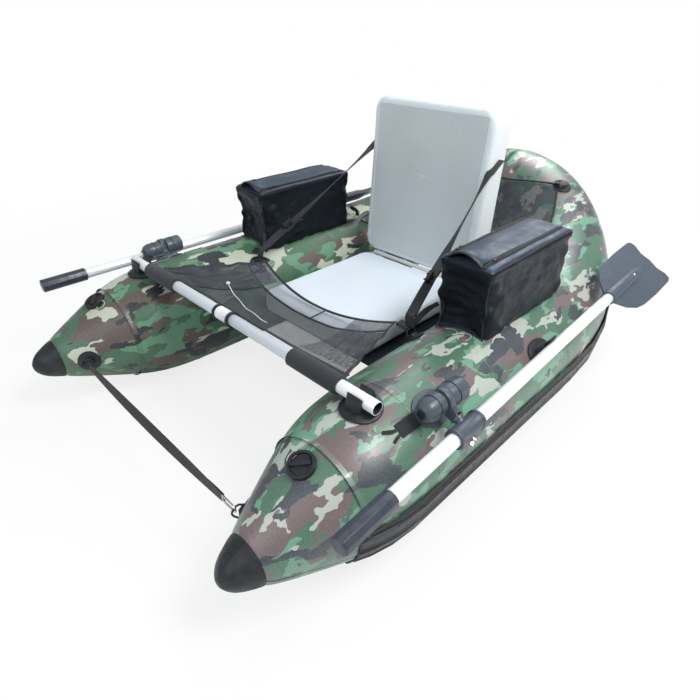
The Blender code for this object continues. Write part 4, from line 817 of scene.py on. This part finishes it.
def makeBag(side, sign):
    deck = decks[side]
    low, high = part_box(f"{side}_bag")
    seed = Vector((3.1, 0.7, 5.2)) if sign > 0 else Vector((8.4, 2.6, 1.3))

    def shape(spot, outward, share):
        belly = math.sin(math.pi * min(1, share.z * 0.95 + 0.05)) * (1 - (2 * share.y - 1) ** 4 * abs(outward.x))
        hold = min(1, (1 - share.z) * 7)
        front = max(0, 1 - share.y * 3.2)
        wave = noise.noise(spot * 11 + seed) * bagLook["slack"] * (0.5 + 0.7 * front)
        folds = -abs(noise.noise(Vector((spot.x * 16, spot.y * 22, spot.z * 34)) + seed)) * bagLook["crease"] * 1.6
        fine = noise.noise(spot * 65 + seed) * bagLook["crease"] * 0.45
        ends = (bagLook["pinch"] if spot.y < 0 else 0.010) * abs(outward.y) * math.sin(math.pi * share.z ** 0.8) * (0.62 + 0.38 * math.sin(math.pi * min(1, max(0, share.x))))
        pucker = 0.0045 * math.sin(share.z * 21 + seed.x) * max(0, abs(2 * share.y - 1) - 0.8) * 5 * abs(outward.x)
        slanting = 0.0042 * math.sin(share.z * 13 + share.y * 30 + seed.y) * (math.exp(-(share.y * 4.5) ** 2) + 0.6 * math.exp(-((1 - share.y) * 5) ** 2)) * abs(outward.x)
        moved = spot + outward * ((bagLook["bulge"] * belly + wave + folds + fine + pucker + slanting - ends) * hold)
        if share.z > 0.9:
            moved += Vector((0, 0, 0.003 * noise.noise(spot * 24 + seed)))
        ground = above(deck, Vector((moved.x, moved.y, 0.30)), 0.0012)
        if moved.z < ground.z:
            moved.z = ground.z
        return moved

    bag = softBox(f"{side}BagCloth", low, high, bagLook["round"], bagLook["cuts"], 1, shape)
    finishCloth(bag, finishes["nylon"], bagLook["thick"])
    belongs(bag, f"{side}_bag")
    for wayX, wayY in ((-1, -1), (1, -1), (-1, 1), (1, 1)):
        outward = Vector((wayX, wayY, 0)).normalized()
        edge = Vector((high.x if wayX > 0 else low.x, high.y if wayY > 0 else low.y, 0))
        spot = edge - Vector((wayX, wayY, 0)) * bagLook["round"] + outward * bagLook["round"]
        path = []
        for i in range(25):
            spot.z = high.z - 0.003 - (high.z - low.z - 0.006) * i / 24
            share = Vector(((spot.x - low.x) / (high.x - low.x), (spot.y - low.y) / (high.y - low.y), (spot.z - low.z) / (high.z - low.z)))
            moved = shape(spot.copy(), outward, share) + outward * 0.0003
            if not path or (moved - path[-1]).length > 0.003:
                path.append(moved)
        goesWith(line(f"{side}BagCornerSeam", path, 0.0019, finishes["piping2"], 2), f"{side}_bag")

    low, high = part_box(f"{side}_bag_lid")
    low, high = low + Vector((-0.0008, -0.0008, -0.003)), high + Vector((0.0008, 0.0008, 0.003))

    def lidShape(spot, outward, share):
        across, along = 2 * share.x - 1, 2 * share.y - 1
        crown = max(0, 1 - across * across) ** 0.7 * (1 - along ** 6)
        dip = noise.noise(spot * 9 + seed) * 0.005 + noise.noise(Vector((spot.x * 40, spot.y * 12, 0)) + seed) * 0.0022
        lifted = spot.copy()
        if share.z > 0.45:
            lifted.z += (0.008 * crown + dip * crown - 0.003)
        lifted += Vector((outward.x, outward.y, 0)) * (noise.noise(spot * 22 + seed) * 0.0022)
        return lifted

    lid = softBox(f"{side}BagLidCloth", low, high, 0.013, 40, -1, lidShape)
    finishCloth(lid, finishes["nylon"], 0.0012)
    belongs(lid, f"{side}_bag_lid")
    lidDeck = deckUnder(lid)
    middleX, top = (low.x + high.x) / 2, high.z
    inward = -sign

    def flapPlace(u, v):
        across = 2 * u - 1
        x = middleX + inward * 0.006 + across * bagLook["flap"] / 2
        y = low.y + 0.007 + (high.y - low.y - 0.030) * v
        base = above(lidDeck, Vector((x, y, top)), 0.0016)
        arch = (1 - across * across)
        mouth = math.exp(-(v / 0.09) ** 2)
        return base + Vector((0, -0.006 * mouth * arch, arch * (0.0035 + 0.0175 * mouth) + 0.0016 * noise.noise(Vector((x * 30, y * 14, 2)) + seed) * arch))

    flap = gridPiece(f"{side}BagFlap", 28, 60, flapPlace, (0.09, 0.36))
    finishCloth(flap, finishes["nylon"], 0.0014)
    goesWith(flap, f"{side}_bag_lid")
    mouthLine = [flapPlace(i / 10, 0) + Vector((0, -0.001, 0.0002)) for i in range(11)]
    goesWith(line(f"{side}FlapMouthHem", mouthLine, 0.0024, finishes["piping2"], 3), f"{side}_bag_lid")
    for edge, place in (("Inner", 0.0), ("Outer", 1.0)):
        shift = (place - 0.5) * 0.010
        path = [above(lidDeck, flapPlace(place, i / 12) + Vector((shift, 0, 0)), 0.0012) for i in range(13)]
        goesWith(ribbon(f"{side}Zip{edge}Tape", path, out, 0.011, 0.0010, finishes["binding"], 3, 0), f"{side}_bag_lid")
        goesWith(line(f"{side}Zip{edge}Coil", [p + up * 0.0010 for p in path], 0.0013, finishes["plastic"], 3), f"{side}_bag_lid")
        slider = path[1].lerp(path[2], 0.35) + up * 0.0026
        bpy.ops.mesh.primitive_cube_add(size=1, location=slider, scale=(0.0065, 0.010, 0.0032))
        pull = bpy.context.object
        pull.name = f"{side}Zip{edge}Slider"
        bpy.ops.object.transform_apply(location=True, rotation=False, scale=True)
        settle(pull, "BEVEL", width=0.0012, segments=3)
        goesWith(dress(pull, finishes["plastic"]), f"{side}_bag_lid")
        tail = [slider + Vector((0, 0.004, 0.001)), slider + Vector((inward * 0.002, 0.014, 0.002)), slider + Vector((inward * 0.005, 0.026, -0.001))]
        goesWith(ribbon(f"{side}Zip{edge}Pull", tail, out, 0.004, 0.0010, finishes["binding"], 4, 0), f"{side}_bag_lid")
    rim = 0.0085
    corners = []
    for cx, cy, start in ((high.x, high.y, 0), (low.x, high.y, 90), (low.x, low.y, 180), (high.x, low.y, 270)):
        for i in range(4):
            turn = math.radians(start + 30 * i)
            sx, sy = (1 if cx > middleX else -1), (1 if cy > 0.005 else -1)
            corners.append(Vector((cx - sx * rim + math.cos(turn) * rim * 0.6, cy - sy * rim + math.sin(turn) * rim * 0.6, 0)))
    path = []
    for a, b in zip(corners, corners[1:] + corners[:1]):
        steps = max(1, round((b - a).length / 0.012))
        path += [above(lidDeck, a.lerp(b, i / steps) + Vector((0, 0, top)), 0.0002) for i in range(steps)]
    goesWith(line(f"{side}LidPiping", path, 0.0017, finishes["piping2"], 1, closed=True), f"{side}_bag_lid")


for side, sign in sides:
    makeBag(side, sign)
print("bags are in place")


# Straps

strapLook = {
    "port": (0, 0, 0, 0.05, 0.25, 0.12, -0.20, -0.70, -0.90, -0.85, -0.40, 0, 0, 0),
    "starboard": (0, 0, 0, 0.15, 0.40, 0.15, -0.10, -0.45, -0.60, -0.50, -0.20, 0, 0, 0),
    "low": (0.302589, -0.23202, 0.3117583), "turn": (0.2961185, -0.23202, 0.3359064), "meets": (0.2212, 0.1723704, 0.5865192), "top": (0.2212, 0.2228782, 0.6178204),
}


def mirrored(spot, sign):
    return Vector((sign * spot[0], spot[1], spot[2]))


for side, sign in sides:
    low, turn, meets, top = (mirrored(strapLook[key], sign) for key in ("low", "turn", "meets", "top"))
    held = turn.lerp(meets, 0.25)
    along = (meets - turn).normalized()
    under = along.cross(Vector((sign, 0, 0))).normalized()
    if under.z > 0:
        under = -under
    path = [low, low.lerp(turn, 0.6), turn.lerp(meets, 0.01), turn.lerp(meets, 0.04)]
    path += [turn.lerp(meets, share) + under * 0.002 * math.sin(math.pi * share) for share in (0.15, 0.25, 0.4, 0.55, 0.7, 0.85, 0.97)]
    path += [meets.lerp(top, 0.1), meets.lerp(top, 0.5), top]
    wide = [Matrix.Rotation(turned, 3, along) @ out for turned in strapLook[side]]
    strap = ribbon(f"{side}SeatStrap", path, wide, 0.025, 0.0017, finishes["webbing"], 5)
    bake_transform(strap)
    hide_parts(f"{side}_seat_strap")
    doubled = [turn.lerp(meets, share) + under * drop for share, drop in ((0.245, 0.0035), (0.2, 0.0042), (0.12, 0.0045), (0.05, 0.0060), (0.02, 0.0095))]
    second = ribbon(f"{side}SeatStrapFold", doubled, out, 0.025, 0.0017, finishes["webbing"], 6)
    goesWith(second, f"{side}_strap_anchor")
    tail = [held + under * 0.004 + along * 0.008, held + under * 0.006 + along * 0.022, held + under * 0.010 + along * 0.036, held + under * 0.017 + along * 0.046]
    goesWith(ribbon(f"{side}StrapTail", tail, out, 0.0245, 0.0016, finishes["webbing"], 6), f"{side}_strap_anchor")
    for offset in (-0.0085, 0.0085):
        spot = held + along * offset - under * 0.0042
        bpy.ops.mesh.primitive_cylinder_add(vertices=20, radius=0.0022, depth=0.030, location=spot, rotation=(0, math.pi / 2, 0))
        bar = bpy.context.object
        bar.name = f"{side}LadderBar"
        bpy.ops.object.transform_apply(location=True, rotation=True, scale=True)
        settle(bar, "BEVEL", width=0.0006, segments=2, limit_method="ANGLE")
        goesWith(dress(bar, finishes["plastic"]), f"{side}_strap_buckle")

hookAt, ringAt = Vector((0.2983, -0.792, 0.1552)), Vector((-0.337, -0.792, 0.1552))
path = [hookAt.lerp(ringAt, i / 12) - up * 0.006 * math.sin(math.pi * i / 12) for i in range(13)]
twist = [Vector((0, 0.55 * math.sin(math.pi * i / 12), 1)) for i in range(13)]
bowStrap = ribbon("bowStrapWebbing", path, twist, 0.025, 0.0018, finishes["webbing"], 4)
belongs(bowStrap, "bow_strap")
fold = [hookAt + Vector((0.006, 0.0022, 0)), hookAt + Vector((-0.02, 0.0024, 0)), hookAt + Vector((-0.05, 0.0024, -0.002))]
goesWith(ribbon("bowStrapFold", fold, up, 0.025, 0.0016, finishes["webbing"], 5), "bow_strap")
print("straps are in place")


# Apron

apronLook = {"frontY": -0.52602, "frontHalf": 0.375, "rearHalf": 0.262, "rearY": -0.23598, "bow": 0.030, "rearZ": 0.312, "barZ": 0.3453, "low": 0.270, "sag": 0.020}


def apronPlace(u, v, lift=0.0):
    """u from -1 to 1 across to port, v from the crossbar to the rear hem."""
    look = apronLook
    half = look["frontHalf"] + (look["rearHalf"] - look["frontHalf"]) * v
    rearY = look["rearY"] - look["bow"] * (1 - u * u)
    y = look["frontY"] + (rearY - look["frontY"]) * v
    edge = look["barZ"] + (look["rearZ"] - look["barZ"]) * v
    hang = (1 - u * u) * math.sin(math.pi / 2 * v)
    fold = look["sag"] * (1 - u * u) * math.sin(math.pi * v)
    z = edge + (look["low"] - edge) * hang + max(-fold, (look["low"] - edge) * (1 - hang)) / 2
    slack = math.sin(math.pi * v)
    gather = abs(u) ** 3
    z += 0.0040 * slack * noise.noise(Vector((u * 4.5, v * 2.5, 1.7))) + 0.0045 * slack * gather * math.sin(26 * v + 5 * u)
    return Vector((half * u, y, z + lift))


apron = gridPiece("apronNet", 96, 44, lambda u, v: apronPlace(2 * u - 1, v), (0.75, 0.30))
# The rear panel takes the net whose thread carries painted sheen and painted light
dress(apron, finishes["net"])
apron.data.materials.append(finishes["denseNet"])
for face in apron.data.polygons:
    u = face.center.x / 0.32
    rearY = apronLook["rearY"] - apronLook["bow"] * (1 - u * u)
    share = (face.center.y - apronLook["frontY"]) / (rearY - apronLook["frontY"])
    face.material_index = 1 if share < 0.74 + 0.06 * u * u else 0
belongs(apron, "apron")


def apronBand(name, height, width, thick=0.0016, start=-1.0, end=1.0, count=26, lift=0.0012):
    path, across = [], []
    for i in range(count + 1):
        u = start + (end - start) * i / count
        v = min(1.0, height(u))
        path.append(apronPlace(u, v, lift))
        across.append((apronPlace(u, min(1.0, v + 0.02)) - apronPlace(u, max(0.0, v - 0.02))).normalized())
    return goesWith(ribbon(name, path, across, width, thick, finishes["binding"], 3, 0.0004), "apron")


def apronSide(name, at, width, first=0.0, last=1.0):
    path, across = [], []
    for i in range(15):
        v = first + (last - first) * i / 14
        u = at(v) if callable(at) else at
        path.append(apronPlace(u, v, 0.0012))
        across.append((apronPlace(min(1, u + 0.03), v) - apronPlace(max(-1, u - 0.03), v)).normalized())
    return goesWith(ribbon(name, path, across, width, 0.0016, finishes["binding"], 3, 0.0004), "apron")


bands = [
    apronBand("apronRearHem", lambda u: 0.985, 0.0075, 0.0024),
    apronBand("apronSecondBand", lambda u: 0.74 + 0.06 * u * u, 0.0060, 0.0024),
    apronBand("apronFrontHem", lambda u: 0.030, 0.016),
    apronSide("apronPortHem", 0.985, 0.008), apronSide("apronStarboardHem", -0.985, 0.008),
    apronSide("apronPanelSeam", -0.60, 0.005, 0.04, 0.74), apronSide("apronShortSeam", 0.15, 0.0045, 0.74, 0.98),
    apronSide("apronStarboardPanel", lambda v: -0.975 + 0.21 * math.sin(math.pi * v) ** 0.8, 0.005, 0.05, 0.95),
]


def ruffle(name, u0, u1, v0, v1, height, waves, seed):
    def place(u, v):
        a, b = u0 + (u1 - u0) * u, v0 + (v1 - v0) * v
        fade = math.sin(math.pi * u) * math.sin(math.pi * v)
        rise = 0.5 + 0.5 * math.sin(waves * u * math.pi * 2 + 3 * v + seed)
        return apronPlace(a, b, 0.002 + height * fade * rise + 0.004 * fade * noise.noise(Vector((a * 9, b * 9, seed))))
    piece = gridPiece(name, 60, 26, place, (abs(u1 - u0) * 0.36, (v1 - v0) * 0.30))
    dress(piece, finishes["cargoNet"])
    return goesWith(piece, "apron")


bunches = [ruffle("apronPortBunch", 0.55, 0.99, 0.10, 0.96, 0.016, 4.0, 0.4), ruffle("apronStarboardBunch", -0.99, -0.62, 0.12, 0.94, 0.012, 3.0, 2.1)]


# Cargo net

source = nodes["cargo_net"]
net = source.copy()
net.data = source.data.copy()
net.name = "cargoNetMesh"
for key in list(net.keys()):
    del net[key]
net.parent = None
bpy.context.scene.collection.objects.link(net)
pick(net)
bpy.ops.object.mode_set(mode="EDIT")
bpy.ops.mesh.select_all(action="SELECT")
bpy.ops.mesh.remove_doubles(threshold=0.00002)
bpy.ops.mesh.tris_convert_to_quads(face_threshold=math.radians(60), shape_threshold=math.radians(80))
bpy.ops.mesh.normals_make_consistent(inside=False)
bpy.ops.mesh.select_all(action="DESELECT")
bpy.ops.object.mode_set(mode="OBJECT")
for face in net.data.polygons:
    face.select = face.normal.z < 0.12
bpy.ops.object.mode_set(mode="EDIT")
bpy.ops.mesh.delete(type="FACE")
bpy.ops.object.mode_set(mode="OBJECT")
settle(net, "SUBSURF", levels=2, render_levels=2)
weaveMap = net.data.uv_layers.new(name="weave")
for corner in net.data.loops:
    spot = net.data.vertices[corner.vertex_index].co
    weaveMap.data[corner.index].uv = (spot.x * 1.1, spot.y * 0.8 + spot.z * 1.2)
dress(net, finishes["cargoNet"])
belongs(net, "cargo_net")


def hemOf(obj, name, radius, finish):
    """A rolled hem along the free edge of a net."""
    pick(obj)
    bpy.ops.object.duplicate()
    hem = bpy.context.object
    for key in list(hem.keys()):
        del hem[key]
    hem.parent = None
    hem.name = name
    bpy.ops.object.mode_set(mode="EDIT")
    bpy.ops.mesh.select_mode(type="EDGE")
    bpy.ops.mesh.select_all(action="SELECT")
    bpy.ops.mesh.region_to_loop()
    bpy.ops.mesh.select_all(action="INVERT")
    bpy.ops.mesh.delete(type="EDGE")
    bpy.ops.object.mode_set(mode="OBJECT")
    bpy.ops.object.convert(target="CURVE")
    hem = bpy.context.object
    hem.data.bevel_depth = radius
    hem.data.bevel_resolution = 2
    bpy.ops.object.convert(target="MESH")
    return dress(bpy.context.object, finish)


netHem = goesWith(hemOf(net, "cargoNetHem", 0.0026, finishes["binding2"]), "cargo_net")
print("nets are in place")


# Seam tapes on the tubes

def ringOn(deck, place, along, count=48, reach=0.30, lift=0.0003, start=0, stop=360):
    """Points round a tube in the plane through place and across along."""
    side = along.cross(up).normalized()
    over = side.cross(along).normalized()
    spots = []
    for i in range(count + 1):
        turn = math.radians(start + (stop - start) * i / count)
        way = side * math.cos(turn) + over * math.sin(turn)
        met, _, _, _ = deck.ray_cast(place + way * reach, -way)
        if met:
            spots.append(met + way * lift)
    return spots


seamLook = {"width": 0.020, "thick": 0.0007, "straight": ((0.437, -0.655, 0.162), (0.428, -0.47, 0.165), (0.425, -0.215, 0.165), (0.425, 0.085, 0.165))}
for side, sign in sides:
    for spot in seamLook["straight"]:
        path = ringOn(decks[side], mirrored(spot, sign), aft)
        tape = ribbon(f"{side}SeamTape", path, aft, seamLook["width"], seamLook["thick"], finishes[f"{side}Camo"], 1, 0.0002)
        goesWith(tape, f"{side}_air_chamber")
    lowSeam = []
    for i in range(22):
        y = -0.845 + 0.165 * i / 21
        way = Vector((sign * 0.93, 0, -0.36)).normalized()
        met, _, _, _ = decks[side].ray_cast(Vector((sign * 0.44, y, 0.155)) + way * 0.3, -way)
        if met:
            lowSeam.append(met + way * 0.0004)
    goesWith(ribbon(f"{side}LowSeam", lowSeam, Vector((sign * 0.36, 0, 0.93)), 0.016, 0.0007, finishes[f"{side}Camo"], 2, 0.0002), f"{side}_air_chamber")
    mouldLine = []
    noseDeck = deckUnder(made[f"{side}_nose_cone"])
    for i in range(17):
        y = -0.893 + 0.058 * i / 16
        met, _, _, _ = noseDeck.ray_cast(Vector((sign * 0.447, y, 0.35)), -up)
        if met:
            mouldLine.append(met + up * 0.0002)
    if len(mouldLine) > 3:
        goesWith(line(f"{side}NoseMouldLine", mouldLine, 0.0011, finishes["rubber"], 3), f"{side}_nose_cone")
print("seams are in place")


# Rowlock trim: moulded rings round the barrels, caps on the barrel ends, webbing under the foot and its loose tails

rowlock = {"pivot": Vector((0.5209793, -0.43002, 0.3016127)), "axis": Vector((0.559120238, -0.016121928, 0.828929842)), "height": 0.0385,
           "front": (0.0235, -0.062, -0.0085), "rear": (0.0255, 0.0085, 0.060)}
for side, sign in sides:
    pivot = mirrored(rowlock["pivot"], sign)
    rise = mirrored(rowlock["axis"], sign)
    ahead = (aft - rise * aft.dot(rise)).normalized()
    wide = rise.cross(ahead)
    centre = pivot + rise * rowlock["height"]
    for radius, near, far in (rowlock["front"], rowlock["rear"]):
        length = far - near
        for share in ((0.62,) if near < 0 else (0.40,)):
            spot = centre + ahead * (near + length * share)
            ring = [spot + (wide * math.cos(t * math.pi / 14) + rise * math.sin(t * math.pi / 14)) * (radius + 0.0002) for t in range(-2, 17)]
            goesWith(line(f"{side}BarrelGroove", ring, 0.0009, finishes["plastic"], 2), f"{side}_rowlock_arm")
        end = centre + ahead * (near if near < 0 else far)
        bpy.ops.mesh.primitive_cylinder_add(vertices=28, radius=radius * 0.42, depth=0.0028, location=end)
        cap = bpy.context.object
        cap.name = f"{side}BarrelCap"
        cap.rotation_mode = "QUATERNION"
        cap.rotation_quaternion = ahead.to_track_quat("Z", "Y")
        bpy.ops.object.transform_apply(location=True, rotation=True, scale=True)
        settle(cap, "BEVEL", width=0.0009, segments=3, limit_method="ANGLE", angle_limit=math.radians(40))
        goesWith(dress(cap, finishes["plastic"]), f"{side}_rowlock_arm")
    for first, last in ((0.052, 0.118), (-0.100, -0.040)):
        path = []
        for i in range(11):
            y = pivot.y + first + (last - first) * i / 10
            met, _, _, _ = decks[side].ray_cast(Vector((pivot.x, y, pivot.z)) + rise * 0.08, -rise)
            path.append(met + rise * 0.0016)
        goesWith(ribbon(f"{side}RowlockWebbing", path, wide, 0.030, 0.0018, finishes["webbing"], 3), f"{side}_rowlock_block")
    tuft = path[0]
    for shift, reach, swing in ((0.004, 0.030, 0.012), (-0.006, 0.022, -0.006)):
        loose = [tuft + wide * shift, tuft - ahead * reach * 0.5 + wide * (shift + swing * 0.3) + rise * 0.004, tuft - ahead * reach + wide * (shift + swing) - rise * 0.001]
        goesWith(ribbon(f"{side}WebbingTail", loose, wide, 0.006, 0.0014, finishes["webbing"], 6), f"{side}_rowlock_block")
print("rowlock trim is in place")


# Valve trim, bag ties, net hooks, cords and the blank spot

def cubePiece(name, spot, size, finish, turn=None, soften=0.001):
    bpy.ops.mesh.primitive_cube_add(size=1, location=spot, scale=size)
    obj = bpy.context.object
    obj.name = name
    if turn:
        obj.rotation_mode = "QUATERNION"
        obj.rotation_quaternion = turn
    bpy.ops.object.transform_apply(location=True, rotation=True, scale=True)
    settle(obj, "BEVEL", width=soften, segments=3)
    return dress(obj, finish)


for side, sign in sides:
    tilt = Vector((0, -0.399051577, 0.91692847))
    ringCentre = mirrored((0.4418983, -0.70002, 0.2795158), sign) + tilt * 0.0066
    sideWay = out
    backWay = tilt.cross(sideWay)
    rim = [ringCentre + (sideWay * math.cos(t * math.pi / 16) + backWay * math.sin(t * math.pi / 16)) * 0.0268 for t in range(32)]
    goesWith(line(f"{side}ValveRimBead", rim, 0.0013, finishes["rubber"], 2, closed=True), f"{side}_valve_body")
    base = ringCentre - out * sign * 0.030 + backWay * 0.006
    loop = []
    for i in range(15):
        turn = math.pi * 2 * i / 15
        spot = base + out * sign * (0.009 * math.cos(turn)) + backWay * 0.012 * math.sin(turn)
        loop.append(above(decks[side], Vector((spot.x, spot.y, 0.28)), 0.0024 + (0.004 if math.cos(turn) > 0.4 else 0)))
    goesWith(line(f"{side}ValveTether", loop, 0.0014, finishes["tether"], 3, closed=True), f"{side}_valve_body")

    low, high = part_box(f"{side}_bag")
    inner = low.x if sign > 0 else high.x
    front = [Vector((inner + sign * 0.006, low.y + 0.006, 0.372)), Vector((inner - sign * 0.014, low.y - 0.012, 0.352)), mirrored((0.305, -0.226, 0.318), sign)]
    goesWith(ribbon(f"{side}BagFrontTie", front, Vector((sign * 0.6, 0.8, 0)), 0.016, 0.0015, finishes["webbing"], 7), f"{side}_bag")
    foot = above(decks[side], Vector((inner + sign * 0.012, high.y + 0.052, 0.30)), 0.002)
    rear = [Vector((inner + sign * 0.010, high.y - 0.002, 0.376)), Vector((inner + sign * 0.008, high.y + 0.018, 0.366)), foot + up * 0.012, foot]
    goesWith(ribbon(f"{side}BagRearTie", rear, out, 0.018, 0.0015, finishes["webbing"], 7), f"{side}_bag")
    clipSpot = (rear[1] + rear[2]) / 2
    goesWith(cubePiece(f"{side}BagTieClip", clipSpot, (0.026, 0.022, 0.008), finishes["plastic"], (rear[2] - rear[1]).to_track_quat("Y", "Z"), 0.0025), f"{side}_bag")

    bar = mirrored((0.2264836, 0.6088526, 0.4784318), sign)
    wrap = [bar + Vector((0, 0.0052 * math.cos(t * math.pi / 8) - 0.002, 0.0052 * math.sin(t * math.pi / 8))) for t in range(17)]
    goesWith(ribbon(f"{side}NetHookLoop", wrap, out, 0.012, 0.0014, finishes["plastic"], 2, 0.0003), f"{side}_net_anchor")
    shank = [bar + Vector((0, -0.006, 0.002)), bar + Vector((-sign * 0.004, -0.020, 0.008)), bar + Vector((-sign * 0.010, -0.038, 0.010))]
    goesWith(ribbon(f"{side}NetHookTab", shank, out, 0.014, 0.0030, finishes["plastic"], 6, 0.0008), f"{side}_net_anchor")

cordPath = [apronPlace(-0.68 + 0.068 * i, 0.27 + 0.17 * (1 - i / 11) ** 1.6, 0.0030 + 0.002 * math.sin(i * 1.7)) for i in range(12)]
cordPath = smoothPath(cordPath, 4)
ballSpot = cordPath[0] + up * 0.003
bpy.ops.mesh.primitive_uv_sphere_add(segments=24, ring_count=14, radius=0.0062, location=ballSpot, scale=(1, 1, 0.86))
ball = bpy.context.object
ball.name = "cordBall"
bpy.ops.object.transform_apply(location=True, rotation=True, scale=True)
goesWith(dress(ball, finishes["cord"]), "apron")
pullCord = line("apronPullCord", cordPath, 0.0013, finishes["cord"], 1)
goesWith(pullCord, "apron")
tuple(cordPath[0])
pathLength(cordPath)

tangle = []
for i in range(19):
    share = i / 18
    x = 0.452 - 0.058 * share + 0.010 * math.sin(share * 11)
    y = -0.208 - 0.016 * math.sin(share * 10 + 2.2)
    tangle.append(above(decks["port"], Vector((x, y, 0.30)), 0.0026 + 0.0030 * (1 + math.sin(i * 0.7))))
tangle = smoothPath(tangle, 4)
tieCord = line("bagTieCord", tangle, 0.0010, finishes["tether"], 1)
goesWith(tieCord, "port_bag")
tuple(tangle[0])
pathLength(tangle)
print("cord lengths", round(pathLength(cordPath), 4), round(pathLength(tangle), 4))

spot = Vector((-0.0111, 0.1735, 0.5353))


def spotPlace(u, v):
    turn, share = 2 * math.pi * u, v
    wave = 1 + 0.16 * math.sin(3 * turn + 0.6) + 0.10 * math.sin(5 * turn)
    offset = Vector((math.cos(turn) * 0.020 * share * wave, 0, math.sin(turn) * 0.014 * share * wave))
    offset.y = offset.z * math.tan(lean)
    hit, _, _, _ = backDeck.ray_cast(spot + offset + backFacing * 0.05, -backFacing)
    return (hit or spot + offset) + backFacing * (0.0010 * (1 - share ** 4) + 0.0001)


backDeck = deckUnder(backBoard)
mark = gridPiece("backrestBlankSpot", 40, 8, spotPlace, (0.04, 0.03))
goesWith(dress(mark, finishes["spot"]), "backrest")
print("small trim is in place")

# End

print("the scene is complete")
